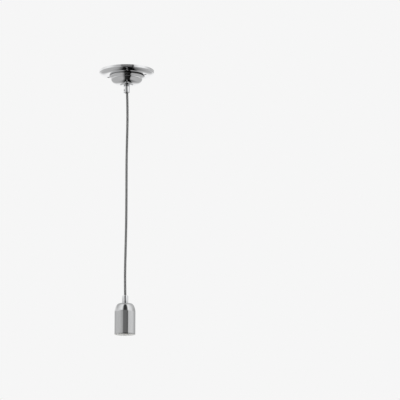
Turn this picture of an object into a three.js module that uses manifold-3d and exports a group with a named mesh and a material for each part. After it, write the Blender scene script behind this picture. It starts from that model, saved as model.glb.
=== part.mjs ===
// Pendant cord set: ceiling rose, fabric flex and metal cup with an E27 lamp holder.
// Millimetres, +Z up. The origin is the centre of the rose's back, on the ceiling plane.

import * as THREE from 'three';
import { mergeVertices } from 'three/addons/utils/BufferGeometryUtils.js';
import Module from 'manifold-3d';

const wasm = await Module();
wasm.setup();

// Clearance that every fitted pair of surfaces keeps
const GAP = 0.3;

// Ceiling rose, one thin pressing with a rolled rim, a flange, a collar and a dome
const ROSE_RADIUS = 60;
const ROSE_WALL = 0.8;
const RIM_HEIGHT = 4.6;
const RIM_ROUND = 2.2;
const FLANGE_DROP = 11;
const FLANGE_OUTER_RADIUS = 46;
const FLANGE_INNER_RADIUS = 39.7;
const FLANGE_SHOULDER = 6;
const COLLAR_RADIUS = 37.7;
const COLLAR_DROP = 9.8;
const DOME_RADIUS = 34.3;
const DOME_TOP_DROP = 17;
const DOME_DROP = 31;
// How far the dome bulges towards its corner, where 0.55 is an ellipse
const DOME_FULLNESS = 0.64;
const BOSS_RADIUS = 15;
const BOSS_HEIGHT = 2;
const FIXING_HOLE_RADIUS = 2.9;
const FIXING_HOLE_CIRCLE_RADIUS = 42.8;
const FIXING_HOLE_TURN = THREE.MathUtils.degToRad(-17.4);

// Flex with its three cores
const CORD_RADIUS = 2.6;
const CORE_RADIUS = 1.1;
const CORD_STANDOUT = 0.8;

// Cord grips, the same turned part above and below
const GRIP_RADIUS = 6.6;
const GRIP_LENGTH = 16.6;
const GRIP_MOUTH_ROUND = 1.4;
const GRIP_SCREW_RADIUS = 1.5;
const GRIP_SCREW_FROM_MOUTH = 5.7;
const UPPER_GRIP_TURN = THREE.MathUtils.degToRad(37);

// Threaded nipples, M10 x 1
const NIPPLE_RADIUS = 5;
const NIPPLE_BORE_RADIUS = 3.9;
const NIPPLE_ENGAGEMENT = 8;
const NIPPLE_END = 1;

// Nuts and toothed washers on the nipples
const NUT_ACROSS_FLATS = 14;
const NUT_HEIGHT = 3;
const WASHER_RADIUS = 8.4;
const WASHER_TOOTH = 0.9;
const WASHER_TEETH = 14;
const WASHER_THICKNESS = 0.8;

// Earth tag in the rose and its clamp screw
const TAG_RING_RADIUS = 8;
const TAG_THICKNESS = 0.8;
const TAG_WIDTH = 8;
const TAG_REACH = 12.8;
const TAG_HEIGHT = 12.3;
const EARTH_SCREW_RADIUS = 1.8;
const EARTH_SCREW_HEAD_RADIUS = 3.2;
const EARTH_SCREW_HEAD_HEIGHT = 1.8;
const EARTH_SCREW_END = 2.6;
const EARTH_SCREW_ABOVE_TAG = 7.6;

// Two-pole terminal block in the rose
const BLOCK_POLES = 2;
const BLOCK_PITCH = 9;
const BLOCK_DEPTH = 16;
const BLOCK_HEIGHT = 12.5;
const BLOCK_FRONT = 9.5;
const BLOCK_DROP = 26;
const BLOCK_BORE_HEIGHT = 5.5;
const TUBE_RADIUS = 2.6;
const TUBE_BORE_RADIUS = 1.5;
const TUBE_LENGTH = 12;
const CLAMP_SCREW_RADIUS = 1.4;
const CLAMP_HEAD_RADIUS = 2;
const CLAMP_HEAD_HEIGHT = 1.6;
const CLAMP_SCREW_LENGTH = 4.4;
const CLAMP_SCREW_SPACING = 6.6;

// Metal cup over the lamp holder
const DROP_TO_CUP = 514.3;
const CUP_RADIUS = 22.5;
const CUP_HEIGHT = 67.2;
const CUP_WALL = 1;
const CUP_TOP_RADIUS = 12.5;
const CUP_SHOULDER_HEIGHT = 17.5;
const CUP_SHOULDER_PULL_RADIUS = 20.2;
const CUP_SHOULDER_PULL_DROP = 0.9;

// Lamp holder cap with its metal bush
const CAP_RADIUS = 20;
const CAP_TOP_RADIUS = 14;
const CAP_SHOULDER_HEIGHT = 9.8;
const CAP_HEIGHT = 17.8;
const CAP_TOP_WALL = 3.5;
const CAVITY_RADIUS = 15.7;
const SPIGOT_RADIUS = 17.7;
const SPIGOT_LENGTH = 7;
const BUSH_NECK_RADIUS = 7;
const BUSH_FLANGE_RADIUS = 8.5;
const BUSH_FLANGE_THICKNESS = 2.5;
const BUSH_EAR_WIDTH = 7;
const BUSH_EAR_REACH = 14.4;
const BUSH_SCREW_REACH = 11;

// Insulating core of the lamp holder, with its terminals
const CORE_TOP_HEIGHT = 4.3;
const CORE_FLANGE_THICKNESS = 4;
const CORE_LOWER_HEIGHT = 2.7;
const TERMINAL_SIZE = new THREE.Vector3(6, 8, 6);
const TERMINAL_OFFSET = 9;
const TERMINAL_HOLE_DEPTH = 5;
const RIVET_RADIUS = 1.2;
const RIVET_HEAD_RADIUS = 2.1;
const RIVET_HEAD_HEIGHT = 0.8;

// Lamp contacts: screw shell and centre spring
const SHELL_RADIUS = 14;
const SHELL_WALL = 0.5;
const SHELL_HEIGHT = 23.6;
const SHELL_FLANGE_INNER_RADIUS = 9.6;
const CONTACT_THICKNESS = 0.5;
const CONTACT_WIDTH = 5;
const CONTACT_PAD = 2.6;
const CONTACT_RISE = 4.4;

// Skirt that clamps the core to the cap
const SKIRT_LENGTH = 41.7;
const SKIRT_BORE_RADIUS = 15.5;
const SKIRT_LIP_RADIUS = 14.3;
const SKIRT_LIP_HEIGHT = 3;

// Route of the flex, from the rose through both grips into the lamp holder
const CORD_ROUTE = [
  [0.8, 0.6, -24.9], [0.8, 0.6, -37.5], [0.88, 0.54, -50.0], [1.4, 0.4, -64.0],
  [1.85, 0.25, -84.0], [2.1, 0.2, -108.0], [1.9, 0.3, -134.0], [1.4, 0.4, -162.0],
  [1.0, 0.4, -190.0], [0.9, 0.3, -218.0], [1.0, 0.1, -248.0], [1.1, -0.1, -278.0],
  [1.1, -0.3, -308.0], [1.0, -0.5, -338.0], [0.6, -0.6, -368.0], [0.1, -0.7, -398.0],
  [-0.4, -0.8, -428.0], [-0.6, -0.9, -456.0], [-0.3, -1.0, -480.0], [0.0, -1.0, -498.0],
  [0.0, -1.0, -513.0], [0.0, -1.0, -527.6],
].map(([x, y, z]) => new THREE.Vector3(x, y, z));
const CORD_SIDES = 8;
const CORD_STEPS = 38;
const CORE_SIDES = 6;
const CORE_STEPS = 11;

// Facets round the circle
const ROSE_SEGMENTS = 42;
const CUP_SEGMENTS = 34;
const HOLDER_SEGMENTS = 28;
const SMALL_SEGMENTS = 20;
const SCREW_SEGMENTS = 12;
const ARC_STEPS = 3;

// Levels worked out from the sizes, measured down from the ceiling plane
const ROSE_DROP = DOME_DROP + BOSS_HEIGHT;
const NUT_BORE_RADIUS = NIPPLE_RADIUS + GAP;
const CORD_SHIFT = NIPPLE_BORE_RADIUS - CORD_RADIUS - GAP;
const CLAMP_SPACE = 2 * (CORE_RADIUS + GAP);
const CORE_CIRCLE_RADIUS = (2 * CORE_RADIUS + GAP) / Math.sqrt(3);

// Finishes
const CHROME = { color: 0xdfe1e4, roughness: 0.06, metalness: 1 };
const SATIN_CHROME = { color: 0xc2c4c7, roughness: 0.16, metalness: 1 };
const ZINC = { color: 0xb4b8bb, roughness: 0.35, metalness: 1 };
const BRASS = { color: 0xc9a14a, roughness: 0.3, metalness: 1 };
const NICKEL = { color: 0xc4bfb2, roughness: 0.25, metalness: 1 };
const STEEL = { color: 0x9b9ea1, roughness: 0.4, metalness: 1 };
const WHITE_RESIN = { color: 0xe6e5e0, roughness: 0.4, metalness: 0 };
const PORCELAIN = { color: 0xf1efe8, roughness: 0.3, metalness: 0 };
const POLYAMIDE = { color: 0xe6e6e2, roughness: 0.5, metalness: 0 };
const BRAID = { color: 0x6a6a6a, roughness: 0.85, metalness: 0 };
const BROWN_PVC = { color: 0x5a3521, roughness: 0.55, metalness: 0 };
const BLUE_PVC = { color: 0x2a62a8, roughness: 0.55, metalness: 0 };
const GREEN_PVC = { color: 0x5f9a3a, roughness: 0.55, metalness: 0 };

// Geometry helpers

function welded(geometry) {
  const bare = new THREE.BufferGeometry();
  bare.setAttribute('position', geometry.getAttribute('position').clone());
  bare.setIndex(geometry.getIndex());
  return mergeVertices(bare, 1e-4);
}

function signedVolume(geometry) {
  const position = geometry.getAttribute('position');
  const index = geometry.getIndex();
  const [a, b, c] = [new THREE.Vector3(), new THREE.Vector3(), new THREE.Vector3()];
  let volume = 0;
  for (let i = 0; i < index.count; i += 3) {
    a.fromBufferAttribute(position, index.getX(i));
    b.fromBufferAttribute(position, index.getX(i + 1));
    c.fromBufferAttribute(position, index.getX(i + 2));
    volume += a.dot(b.cross(c)) / 6;
  }
  return volume;
}

// One closed skin with its faces pointing out
function closedSkin(geometry) {
  const skin = welded(geometry);
  if (signedVolume(skin) < 0) {
    const index = skin.getIndex();
    for (let i = 0; i < index.count; i += 3) {
      const first = index.getX(i);
      index.setX(i, index.getX(i + 1));
      index.setX(i + 1, first);
    }
  }
  return skin;
}

function toSolid(geometry) {
  const skin = closedSkin(geometry);
  return new wasm.Manifold(new wasm.Mesh({
    numProp: 3,
    vertProperties: new Float32Array(skin.getAttribute('position').array),
    triVerts: new Uint32Array(skin.getIndex().array),
  }));
}

function toGeometry(solid) {
  const mesh = solid.getMesh();
  const geometry = new THREE.BufferGeometry();
  geometry.setAttribute('position', new THREE.BufferAttribute(mesh.vertProperties, 3));
  geometry.setIndex(new THREE.BufferAttribute(mesh.triVerts, 1));
  return geometry;
}

function cut(body, ...tools) {
  return toGeometry(tools.reduce((solid, tool) => solid.subtract(toSolid(tool)), toSolid(body)));
}

function join(body, ...others) {
  return toGeometry(others.reduce((solid, other) => solid.add(toSolid(other)), toSolid(body)));
}

// Closed outline of [radius, z] points, revolved about Z
function revolve(outline, segments) {
  const points = outline.map(([radius, z]) => new THREE.Vector2(radius, z));
  if (THREE.ShapeUtils.area(points) < 0) points.reverse();
  points.push(points[0].clone());
  return closedSkin(new THREE.LatheGeometry(points, segments).rotateX(Math.PI / 2));
}

// Outline of a pressed sheet: the wall lies on the right-hand side of the path
function sheetOutline(path, wall) {
  const inner = path.map((point, i) => {
    const before = new THREE.Vector2().subVectors(point, path[Math.max(i - 1, 0)]);
    const after = new THREE.Vector2().subVectors(path[Math.min(i + 1, path.length - 1)], point);
    const first = (before.lengthSq() > 0 ? before : after).clone().normalize();
    const second = (after.lengthSq() > 0 ? after : before).clone().normalize();
    const along = first.clone().add(second).normalize();
    const miter = wall / along.dot(first);
    return new THREE.Vector2(point.x + along.y * miter, point.y - along.x * miter);
  });
  return [...path, ...inner.reverse()].map((point) => [point.x, point.y]);
}

function rod(radius, length) {
  return new THREE.CylinderGeometry(radius, radius, length, SCREW_SEGMENTS).rotateX(Math.PI / 2);
}

function tube(outerRadius, innerRadius, bottom, top) {
  return revolve(
    [[innerRadius, bottom], [outerRadius, bottom], [outerRadius, top], [innerRadius, top]],
    SMALL_SEGMENTS,
  );
}

function box(minimum, maximum) {
  const size = maximum.map((value, i) => value - minimum[i]);
  const centre = maximum.map((value, i) => (value + minimum[i]) / 2);
  return new THREE.BoxGeometry(...size).translate(...centre);
}

function plate(shape, bottom, thickness) {
  const options = { depth: thickness, bevelEnabled: false, curveSegments: SMALL_SEGMENTS / 2 };
  return new THREE.ExtrudeGeometry(shape, options).translate(0, 0, bottom);
}

function regularPolygon(radius, sides) {
  const corners = Array.from({ length: sides }, (_, i) => {
    const angle = (i * 2 * Math.PI) / sides;
    return new THREE.Vector2(radius * Math.cos(angle), radius * Math.sin(angle));
  });
  return new THREE.Shape(corners);
}

// Round wire along a smooth curve through the given points
function wire(points, radius, sides, steps) {
  const extrudePath = new THREE.CatmullRomCurve3(points, false, 'centripetal');
  const options = { steps, extrudePath, bevelEnabled: false };
  return closedSkin(new THREE.ExtrudeGeometry(regularPolygon(radius, sides), options));
}

// Slotted screw along Z: the head's underside is at zero and the shank goes down
function slottedScrew(radius, length, headRadius, headHeight) {
  const body = revolve([
    [0, -length], [radius, -length], [radius, 0],
    [headRadius, 0], [headRadius, headHeight], [0, headHeight],
  ], SCREW_SEGMENTS);
  const slotWidth = headHeight * 0.4;
  const slot = box(
    [-headRadius - 1, -slotWidth / 2, headHeight * 0.5],
    [headRadius + 1, slotWidth / 2, headHeight + 1],
  );
  return cut(body, slot);
}

function piece(name, geometry, finish) {
  const mesh = new THREE.Mesh(geometry, new THREE.MeshStandardMaterial({ ...finish, flatShading: true }));
  mesh.name = name;
  return mesh;
}

// Ceiling rose

function rosePath() {
  const path = new THREE.Path();
  const shoulder = FLANGE_OUTER_RADIUS + FLANGE_SHOULDER;
  const rimEdge = -RIM_HEIGHT - RIM_ROUND;
  path.moveTo(ROSE_RADIUS, 0);
  path.lineTo(ROSE_RADIUS, -RIM_HEIGHT);
  path.quadraticCurveTo(ROSE_RADIUS, rimEdge, ROSE_RADIUS - RIM_ROUND, rimEdge);
  path.quadraticCurveTo(shoulder, -FLANGE_DROP, FLANGE_OUTER_RADIUS, -FLANGE_DROP);
  path.lineTo(FLANGE_INNER_RADIUS, -FLANGE_DROP);
  path.lineTo(COLLAR_RADIUS, -COLLAR_DROP);
  path.quadraticCurveTo(COLLAR_RADIUS, -DOME_TOP_DROP, DOME_RADIUS, -DOME_TOP_DROP);
  const dome = new THREE.CubicBezierCurve(
    new THREE.Vector2(DOME_RADIUS, -DOME_TOP_DROP),
    new THREE.Vector2(DOME_RADIUS, -DOME_TOP_DROP - DOME_FULLNESS * (DOME_DROP - DOME_TOP_DROP)),
    new THREE.Vector2(BOSS_RADIUS + DOME_FULLNESS * (DOME_RADIUS - BOSS_RADIUS), -DOME_DROP),
    new THREE.Vector2(BOSS_RADIUS, -DOME_DROP),
  );
  dome.getPoints(2 * ARC_STEPS).slice(1).forEach(({ x, y }) => path.lineTo(x, y));
  path.lineTo(BOSS_RADIUS - BOSS_HEIGHT, -ROSE_DROP);
  path.lineTo(NUT_BORE_RADIUS, -ROSE_DROP);
  return path.getPoints(ARC_STEPS);
}

function ceilingRose() {
  const pressing = revolve(sheetOutline(rosePath(), ROSE_WALL), ROSE_SEGMENTS);
  const holes = [0, Math.PI].map((side) => {
    const angle = FIXING_HOLE_TURN + side;
    const x = FIXING_HOLE_CIRCLE_RADIUS * Math.cos(angle);
    const y = FIXING_HOLE_CIRCLE_RADIUS * Math.sin(angle);
    return rod(FIXING_HOLE_RADIUS, 4 * ROSE_WALL).translate(x, y, -FLANGE_DROP);
  });
  return piece('ceiling_rose', cut(pressing, ...holes), CHROME);
}

// Cord grip: it stands on its seat at zero and its mouth points along -Z

function gripBody() {
  const mouth = -GRIP_LENGTH;
  const body = revolve([
    [NUT_BORE_RADIUS, 0], [GRIP_RADIUS, 0], [GRIP_RADIUS, mouth + GRIP_MOUTH_ROUND],
    [GRIP_RADIUS - GRIP_MOUTH_ROUND * 0.3, mouth + GRIP_MOUTH_ROUND * 0.3],
    [GRIP_RADIUS - GRIP_MOUTH_ROUND, mouth], [NIPPLE_BORE_RADIUS, mouth],
    [NIPPLE_BORE_RADIUS, -NIPPLE_ENGAGEMENT], [NUT_BORE_RADIUS, -NIPPLE_ENGAGEMENT],
  ], SMALL_SEGMENTS);
  const screwHole = rod(GRIP_SCREW_RADIUS + GAP, GRIP_RADIUS).rotateY(Math.PI / 2)
    .translate(-GRIP_RADIUS, 0, mouth + GRIP_SCREW_FROM_MOUTH);
  return cut(body, screwHole);
}

function gripScrew() {
  const tip = CORD_RADIUS - CORD_SHIFT + GAP;
  const length = GRIP_RADIUS - GAP / 2 - tip;
  const screw = rod(GRIP_SCREW_RADIUS, length);
  const slot = box(
    [-GRIP_SCREW_RADIUS, -GAP, length / 2 - GRIP_SCREW_RADIUS * 0.6],
    [GRIP_SCREW_RADIUS, GAP, length],
  );
  return cut(screw, slot).rotateY(-Math.PI / 2)
    .translate(-tip - length / 2, 0, -GRIP_LENGTH + GRIP_SCREW_FROM_MOUTH);
}

function nipple(reach) {
  return tube(NIPPLE_RADIUS, NIPPLE_BORE_RADIUS, GAP - NIPPLE_ENGAGEMENT, reach);
}

function cordGrip(position, nippleReach) {
  const group = new THREE.Group();
  group.add(
    piece(`${position}_cord_grip`, gripBody(), CHROME),
    piece(`${position}_grip_screw`, gripScrew(), STEEL),
    piece(`${position}_nipple`, nipple(nippleReach), ZINC),
  );
  return group;
}

function lockNut(bottom) {
  const nut = regularPolygon(NUT_ACROSS_FLATS / Math.sqrt(3), 6);
  const bore = new THREE.Path().absarc(0, 0, NUT_BORE_RADIUS, 0, 2 * Math.PI, true);
  nut.holes.push(bore);
  return plate(nut, bottom, NUT_HEIGHT);
}

function toothedWasher(bottom) {
  const rim = Array.from({ length: 2 * WASHER_TEETH }, (_, i) => {
    const radius = i % 2 ? WASHER_RADIUS - WASHER_TOOTH : WASHER_RADIUS;
    const angle = (i * Math.PI) / WASHER_TEETH;
    return new THREE.Vector2(radius * Math.cos(angle), radius * Math.sin(angle));
  });
  const shape = new THREE.Shape(rim);
  shape.holes.push(new THREE.Path().absarc(0, 0, NUT_BORE_RADIUS, 0, 2 * Math.PI, true));
  return plate(shape, bottom, WASHER_THICKNESS);
}

// Earth tag: a ring under the nut whose tongue turns up and carries the clamp screw

function earthTag(bottom) {
  const top = bottom + TAG_THICKNESS;
  const ring = tube(TAG_RING_RADIUS, NUT_BORE_RADIUS, bottom, top);
  const tongue = box([-TAG_WIDTH / 2, -TAG_REACH, bottom], [TAG_WIDTH / 2, -TAG_RING_RADIUS * 0.8, top]);
  const upright = box(
    [-TAG_WIDTH / 2, -TAG_REACH, bottom],
    [TAG_WIDTH / 2, -TAG_REACH + TAG_THICKNESS, bottom + TAG_HEIGHT],
  );
  const hole = rod(EARTH_SCREW_RADIUS + GAP, 4 * TAG_THICKNESS).rotateX(Math.PI / 2)
    .translate(0, -TAG_REACH, bottom + EARTH_SCREW_ABOVE_TAG);
  return cut(join(ring, tongue, upright), hole);
}

function earthScrew(clampedThickness) {
  const length = CLAMP_SPACE + clampedThickness + EARTH_SCREW_END;
  return slottedScrew(EARTH_SCREW_RADIUS, length, EARTH_SCREW_HEAD_RADIUS, EARTH_SCREW_HEAD_HEIGHT);
}

// Terminal block: a pole's tube lies along Y, its two clamp screws stand above it

const POLE_OFFSETS = Array.from(
  { length: BLOCK_POLES },
  (_, i) => (BLOCK_POLES / 2 - 0.5 - i) * BLOCK_PITCH,
);
const BLOCK_MIDDLE = BLOCK_FRONT + BLOCK_DEPTH / 2;
const BORE_LEVEL = -BLOCK_DROP + BLOCK_BORE_HEIGHT;
const CLAMP_SCREW_SIDES = [-CLAMP_SCREW_SPACING / 2, CLAMP_SCREW_SPACING / 2];

function terminalBlock() {
  const halfWidth = (BLOCK_POLES * BLOCK_PITCH) / 2;
  const body = box(
    [-halfWidth, BLOCK_FRONT, -BLOCK_DROP],
    [halfWidth, BLOCK_FRONT + BLOCK_DEPTH, -BLOCK_DROP + BLOCK_HEIGHT],
  );
  const bores = POLE_OFFSETS.map((x) => rod(TUBE_RADIUS + GAP, BLOCK_DEPTH + 2)
    .rotateX(Math.PI / 2).translate(x, BLOCK_MIDDLE, BORE_LEVEL));
  const wells = POLE_OFFSETS.flatMap((x) => CLAMP_SCREW_SIDES.map((side) => (
    rod(CLAMP_HEAD_RADIUS + GAP, BLOCK_HEIGHT)
      .translate(x, BLOCK_MIDDLE + side, BORE_LEVEL + BLOCK_HEIGHT / 2))));
  return cut(body, ...bores, ...wells);
}

function terminalTube(x) {
  const body = tube(TUBE_RADIUS, TUBE_BORE_RADIUS, -TUBE_LENGTH / 2, TUBE_LENGTH / 2)
    .rotateX(Math.PI / 2).translate(x, BLOCK_MIDDLE, BORE_LEVEL);
  const screwHoles = CLAMP_SCREW_SIDES.map((side) => (
    rod(CLAMP_SCREW_RADIUS + GAP, TUBE_RADIUS * 2)
      .translate(x, BLOCK_MIDDLE + side, BORE_LEVEL + TUBE_RADIUS)));
  return cut(body, ...screwHoles);
}

function clampScrew(x, y) {
  const tip = BORE_LEVEL + CORE_RADIUS + GAP;
  return slottedScrew(CLAMP_SCREW_RADIUS, CLAMP_SCREW_LENGTH, CLAMP_HEAD_RADIUS, CLAMP_HEAD_HEIGHT)
    .translate(x, y, tip + CLAMP_SCREW_LENGTH);
}

function roseTerminals() {
  const group = new THREE.Group();
  group.add(piece('terminal_block', terminalBlock(), POLYAMIDE));
  POLE_OFFSETS.forEach((x, pole) => {
    group.add(piece(`block_tube_${pole + 1}`, terminalTube(x), BRASS));
    CLAMP_SCREW_SIDES.forEach((side, i) => {
      const name = `block_screw_${2 * pole + i + 1}`;
      group.add(piece(name, clampScrew(x, BLOCK_MIDDLE + side), ZINC));
    });
  });
  return group;
}

// Cores of the flex: three in a ring, from the stripped end of the cord

function coreStart(end, angle, direction) {
  return new THREE.Vector3(
    end.x + CORE_CIRCLE_RADIUS * Math.cos(angle),
    end.y + CORE_CIRCLE_RADIUS * Math.sin(angle),
    end.z + direction * GAP,
  );
}

function core(name, points, finish) {
  return piece(name, wire(points, CORE_RADIUS, CORE_SIDES, CORE_STEPS), finish);
}

const ROSE_TAG = -ROSE_DROP + ROSE_WALL + 2 * GAP + WASHER_THICKNESS;
const ROSE_NUT = ROSE_TAG + TAG_THICKNESS + GAP;
const ROSE_NIPPLE_TOP = ROSE_NUT + NUT_HEIGHT + NIPPLE_END;
const ROSE_CORD_TOP = new THREE.Vector3(
  CORD_SHIFT * Math.cos(UPPER_GRIP_TURN), CORD_SHIFT * Math.sin(UPPER_GRIP_TURN),
  ROSE_NIPPLE_TOP + CORD_STANDOUT,
);

function blockCore(name, angle, x, finish) {
  const start = coreStart(ROSE_CORD_TOP, angle, 1);
  const reach = BLOCK_MIDDLE + CLAMP_SCREW_SIDES[0] + CLAMP_SCREW_RADIUS;
  const lift = BORE_LEVEL + 1.4;
  return core(name, [
    start,
    new THREE.Vector3(start.x, start.y + 0.1, start.z + 2.6),
    new THREE.Vector3(start.x + (x - start.x) * 0.3, start.y + 2, lift),
    new THREE.Vector3(start.x + (x - start.x) * 0.75, BLOCK_FRONT * 0.56, lift),
    new THREE.Vector3(x, BLOCK_FRONT - 1.4, BORE_LEVEL + 0.2),
    new THREE.Vector3(x, BLOCK_FRONT + 2, BORE_LEVEL),
    new THREE.Vector3(x, reach, BORE_LEVEL),
  ], finish);
}

function roseEarthCore() {
  const start = coreStart(ROSE_CORD_TOP, -Math.PI / 2, 1);
  const side = EARTH_SCREW_RADIUS + GAP + CORE_RADIUS;
  const back = -TAG_REACH + TAG_THICKNESS + CLAMP_SPACE / 2;
  const screw = ROSE_TAG + EARTH_SCREW_ABOVE_TAG;
  const over = screw + EARTH_SCREW_HEAD_RADIUS + CORE_RADIUS;
  return core('rose_earth_core', [
    start,
    new THREE.Vector3(start.x, start.y - 0.2, start.z + 3),
    new THREE.Vector3((start.x + side) / 2, back * 0.33, over + 0.6),
    new THREE.Vector3(side, back * 0.62, over + 2.2),
    new THREE.Vector3(side, back + 1.1, over + 1.4),
    new THREE.Vector3(side, back, screw + EARTH_SCREW_HEAD_RADIUS - 0.4),
    new THREE.Vector3(side, back, screw - EARTH_SCREW_RADIUS),
  ], GREEN_PVC);
}

// Everything that the rose carries on its nipple

function roseFittings() {
  const group = new THREE.Group();
  const grip = cordGrip('upper', ROSE_NIPPLE_TOP + ROSE_DROP + GAP);
  grip.rotation.z = UPPER_GRIP_TURN;
  grip.position.z = -ROSE_DROP - GAP;
  const screw = piece('rose_earth_screw', earthScrew(TAG_THICKNESS), BRASS);
  screw.rotation.x = -Math.PI / 2;
  screw.position.set(0, -TAG_REACH + TAG_THICKNESS + CLAMP_SPACE, ROSE_TAG + EARTH_SCREW_ABOVE_TAG);
  group.add(
    grip,
    piece('rose_washer', toothedWasher(-ROSE_DROP + ROSE_WALL + GAP), STEEL),
    piece('rose_earth_tag', earthTag(ROSE_TAG), ZINC),
    piece('rose_lock_nut', lockNut(ROSE_NUT), ZINC),
    screw,
    blockCore('rose_live_core', Math.PI / 6, POLE_OFFSETS[0], BROWN_PVC),
    blockCore('rose_neutral_core', Math.PI * 5 / 6, POLE_OFFSETS[1], BLUE_PVC),
    roseEarthCore(),
  );
  return group;
}

// Cup and lamp holder, measured down from the cup's top

const CUP_NUT = CUP_WALL + GAP + WASHER_THICKNESS + GAP;
const CAP_TOP = CUP_NUT + NUT_HEIGHT + GAP;
const CAVITY_TOP = CAP_TOP + CAP_TOP_WALL;
const BUSH_FLANGE_TOP = CAVITY_TOP + GAP;
const BUSH_BOTTOM = BUSH_FLANGE_TOP + BUSH_FLANGE_THICKNESS;
const SKIRT_TOP = CAP_TOP + CAP_HEIGHT + GAP;
const CAP_BOTTOM = CAP_TOP + CAP_HEIGHT + SPIGOT_LENGTH;
const CORE_FLANGE_TOP = CAP_BOTTOM + GAP;
const CORE_TOP = CORE_FLANGE_TOP - CORE_TOP_HEIGHT;
const CORE_FLANGE_BOTTOM = CORE_FLANGE_TOP + CORE_FLANGE_THICKNESS;
const CORE_BOTTOM = CORE_FLANGE_BOTTOM + CORE_LOWER_HEIGHT;
const LEDGE = CORE_FLANGE_BOTTOM + GAP;
const TERMINAL_TOP = CORE_TOP - GAP - TERMINAL_SIZE.z;
const HOLDER_NIPPLE_END = BUSH_BOTTOM + NIPPLE_END / 2;
const HOLDER_CORD_END = new THREE.Vector3(0, -CORD_SHIFT, -HOLDER_NIPPLE_END - CORD_STANDOUT);
const LIVE_RIVET_OFFSET = SHELL_FLANGE_INNER_RADIUS - 3 * GAP - RIVET_HEAD_RADIUS;
const SHELL_RIVET_OFFSET = SHELL_RADIUS - SHELL_WALL - GAP - RIVET_HEAD_RADIUS;

function lampCup() {
  const path = new THREE.Path();
  path.moveTo(NUT_BORE_RADIUS, 0);
  path.lineTo(CUP_TOP_RADIUS, 0);
  path.quadraticCurveTo(
    CUP_SHOULDER_PULL_RADIUS, -CUP_SHOULDER_PULL_DROP, CUP_RADIUS, -CUP_SHOULDER_HEIGHT,
  );
  path.lineTo(CUP_RADIUS, -CUP_HEIGHT);
  const outline = sheetOutline(path.getPoints(ARC_STEPS + 1), CUP_WALL);
  return piece('lamp_cup', revolve(outline, CUP_SEGMENTS), SATIN_CHROME);
}

function holderCap() {
  const outer = new THREE.Path();
  outer.moveTo(BUSH_NECK_RADIUS + GAP, -CAP_TOP);
  outer.lineTo(CAP_TOP_RADIUS, -CAP_TOP);
  outer.absellipse(
    CAP_TOP_RADIUS, -CAP_TOP - CAP_SHOULDER_HEIGHT, CAP_RADIUS - CAP_TOP_RADIUS, CAP_SHOULDER_HEIGHT,
    Math.PI / 2, 0, true,
  );
  outer.lineTo(CAP_RADIUS, -CAP_TOP - CAP_HEIGHT);
  const outline = outer.getPoints(ARC_STEPS).map((point) => [point.x, point.y]);
  outline.push(
    [SPIGOT_RADIUS, -CAP_TOP - CAP_HEIGHT], [SPIGOT_RADIUS, -CAP_BOTTOM], [CAVITY_RADIUS, -CAP_BOTTOM],
    [CAVITY_RADIUS, -CAVITY_TOP], [BUSH_NECK_RADIUS + GAP, -CAVITY_TOP],
  );
  return piece('holder_cap', revolve(outline, HOLDER_SEGMENTS), WHITE_RESIN);
}

function holderBush() {
  const sleeve = tube(BUSH_NECK_RADIUS, NUT_BORE_RADIUS, -BUSH_BOTTOM, -CAP_TOP - GAP);
  const flange = tube(BUSH_FLANGE_RADIUS, NUT_BORE_RADIUS, -BUSH_BOTTOM, -BUSH_FLANGE_TOP);
  const ear = box(
    [-BUSH_EAR_WIDTH / 2, BUSH_NECK_RADIUS, -BUSH_BOTTOM],
    [BUSH_EAR_WIDTH / 2, BUSH_EAR_REACH, -BUSH_FLANGE_TOP],
  );
  const hole = rod(EARTH_SCREW_RADIUS + GAP, 4 * BUSH_FLANGE_THICKNESS)
    .translate(0, BUSH_SCREW_REACH, -BUSH_FLANGE_TOP);
  return piece('holder_bush', cut(join(sleeve, flange, ear), hole), ZINC);
}

function bushScrew() {
  const length = CLAMP_SPACE + BUSH_FLANGE_THICKNESS - GAP;
  const geometry = slottedScrew(
    EARTH_SCREW_RADIUS, length, EARTH_SCREW_HEAD_RADIUS, EARTH_SCREW_HEAD_HEIGHT,
  );
  const screw = piece('holder_earth_screw', geometry, BRASS);
  screw.rotation.x = Math.PI;
  screw.position.set(0, BUSH_SCREW_REACH, -BUSH_BOTTOM - CLAMP_SPACE);
  return screw;
}

function holderCore() {
  const body = revolve([
    [0, -CORE_TOP], [CAVITY_RADIUS - 2 * GAP, -CORE_TOP], [CAVITY_RADIUS - 2 * GAP, -CORE_FLANGE_TOP],
    [SPIGOT_RADIUS, -CORE_FLANGE_TOP], [SPIGOT_RADIUS, -CORE_FLANGE_BOTTOM],
    [SKIRT_BORE_RADIUS - GAP, -CORE_FLANGE_BOTTOM], [SKIRT_BORE_RADIUS - GAP, -CORE_BOTTOM],
    [0, -CORE_BOTTOM],
  ], HOLDER_SEGMENTS);
  const holes = [LIVE_RIVET_OFFSET, -SHELL_RIVET_OFFSET].map((x) => (
    rod(RIVET_RADIUS + GAP, 2 * (CORE_BOTTOM - CORE_TOP)).translate(x, 0, -CORE_BOTTOM)));
  return piece('holder_core', cut(body, ...holes), PORCELAIN);
}

function holderTerminal(name, side) {
  const { x: width, y: depth, z: height } = TERMINAL_SIZE;
  const middle = side * TERMINAL_OFFSET;
  const body = box(
    [middle - width / 2, -depth / 2, -TERMINAL_TOP - height],
    [middle + width / 2, depth / 2, -TERMINAL_TOP],
  );
  const wireHole = rod(CORE_RADIUS + GAP, 2 * TERMINAL_HOLE_DEPTH).translate(middle, 0, -TERMINAL_TOP);
  const screwHole = rod(CLAMP_SCREW_RADIUS + GAP, depth).rotateX(Math.PI / 2)
    .translate(middle, -depth / 2, -TERMINAL_TOP - height / 2);
  return piece(name, cut(body, wireHole, screwHole), BRASS);
}

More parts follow.
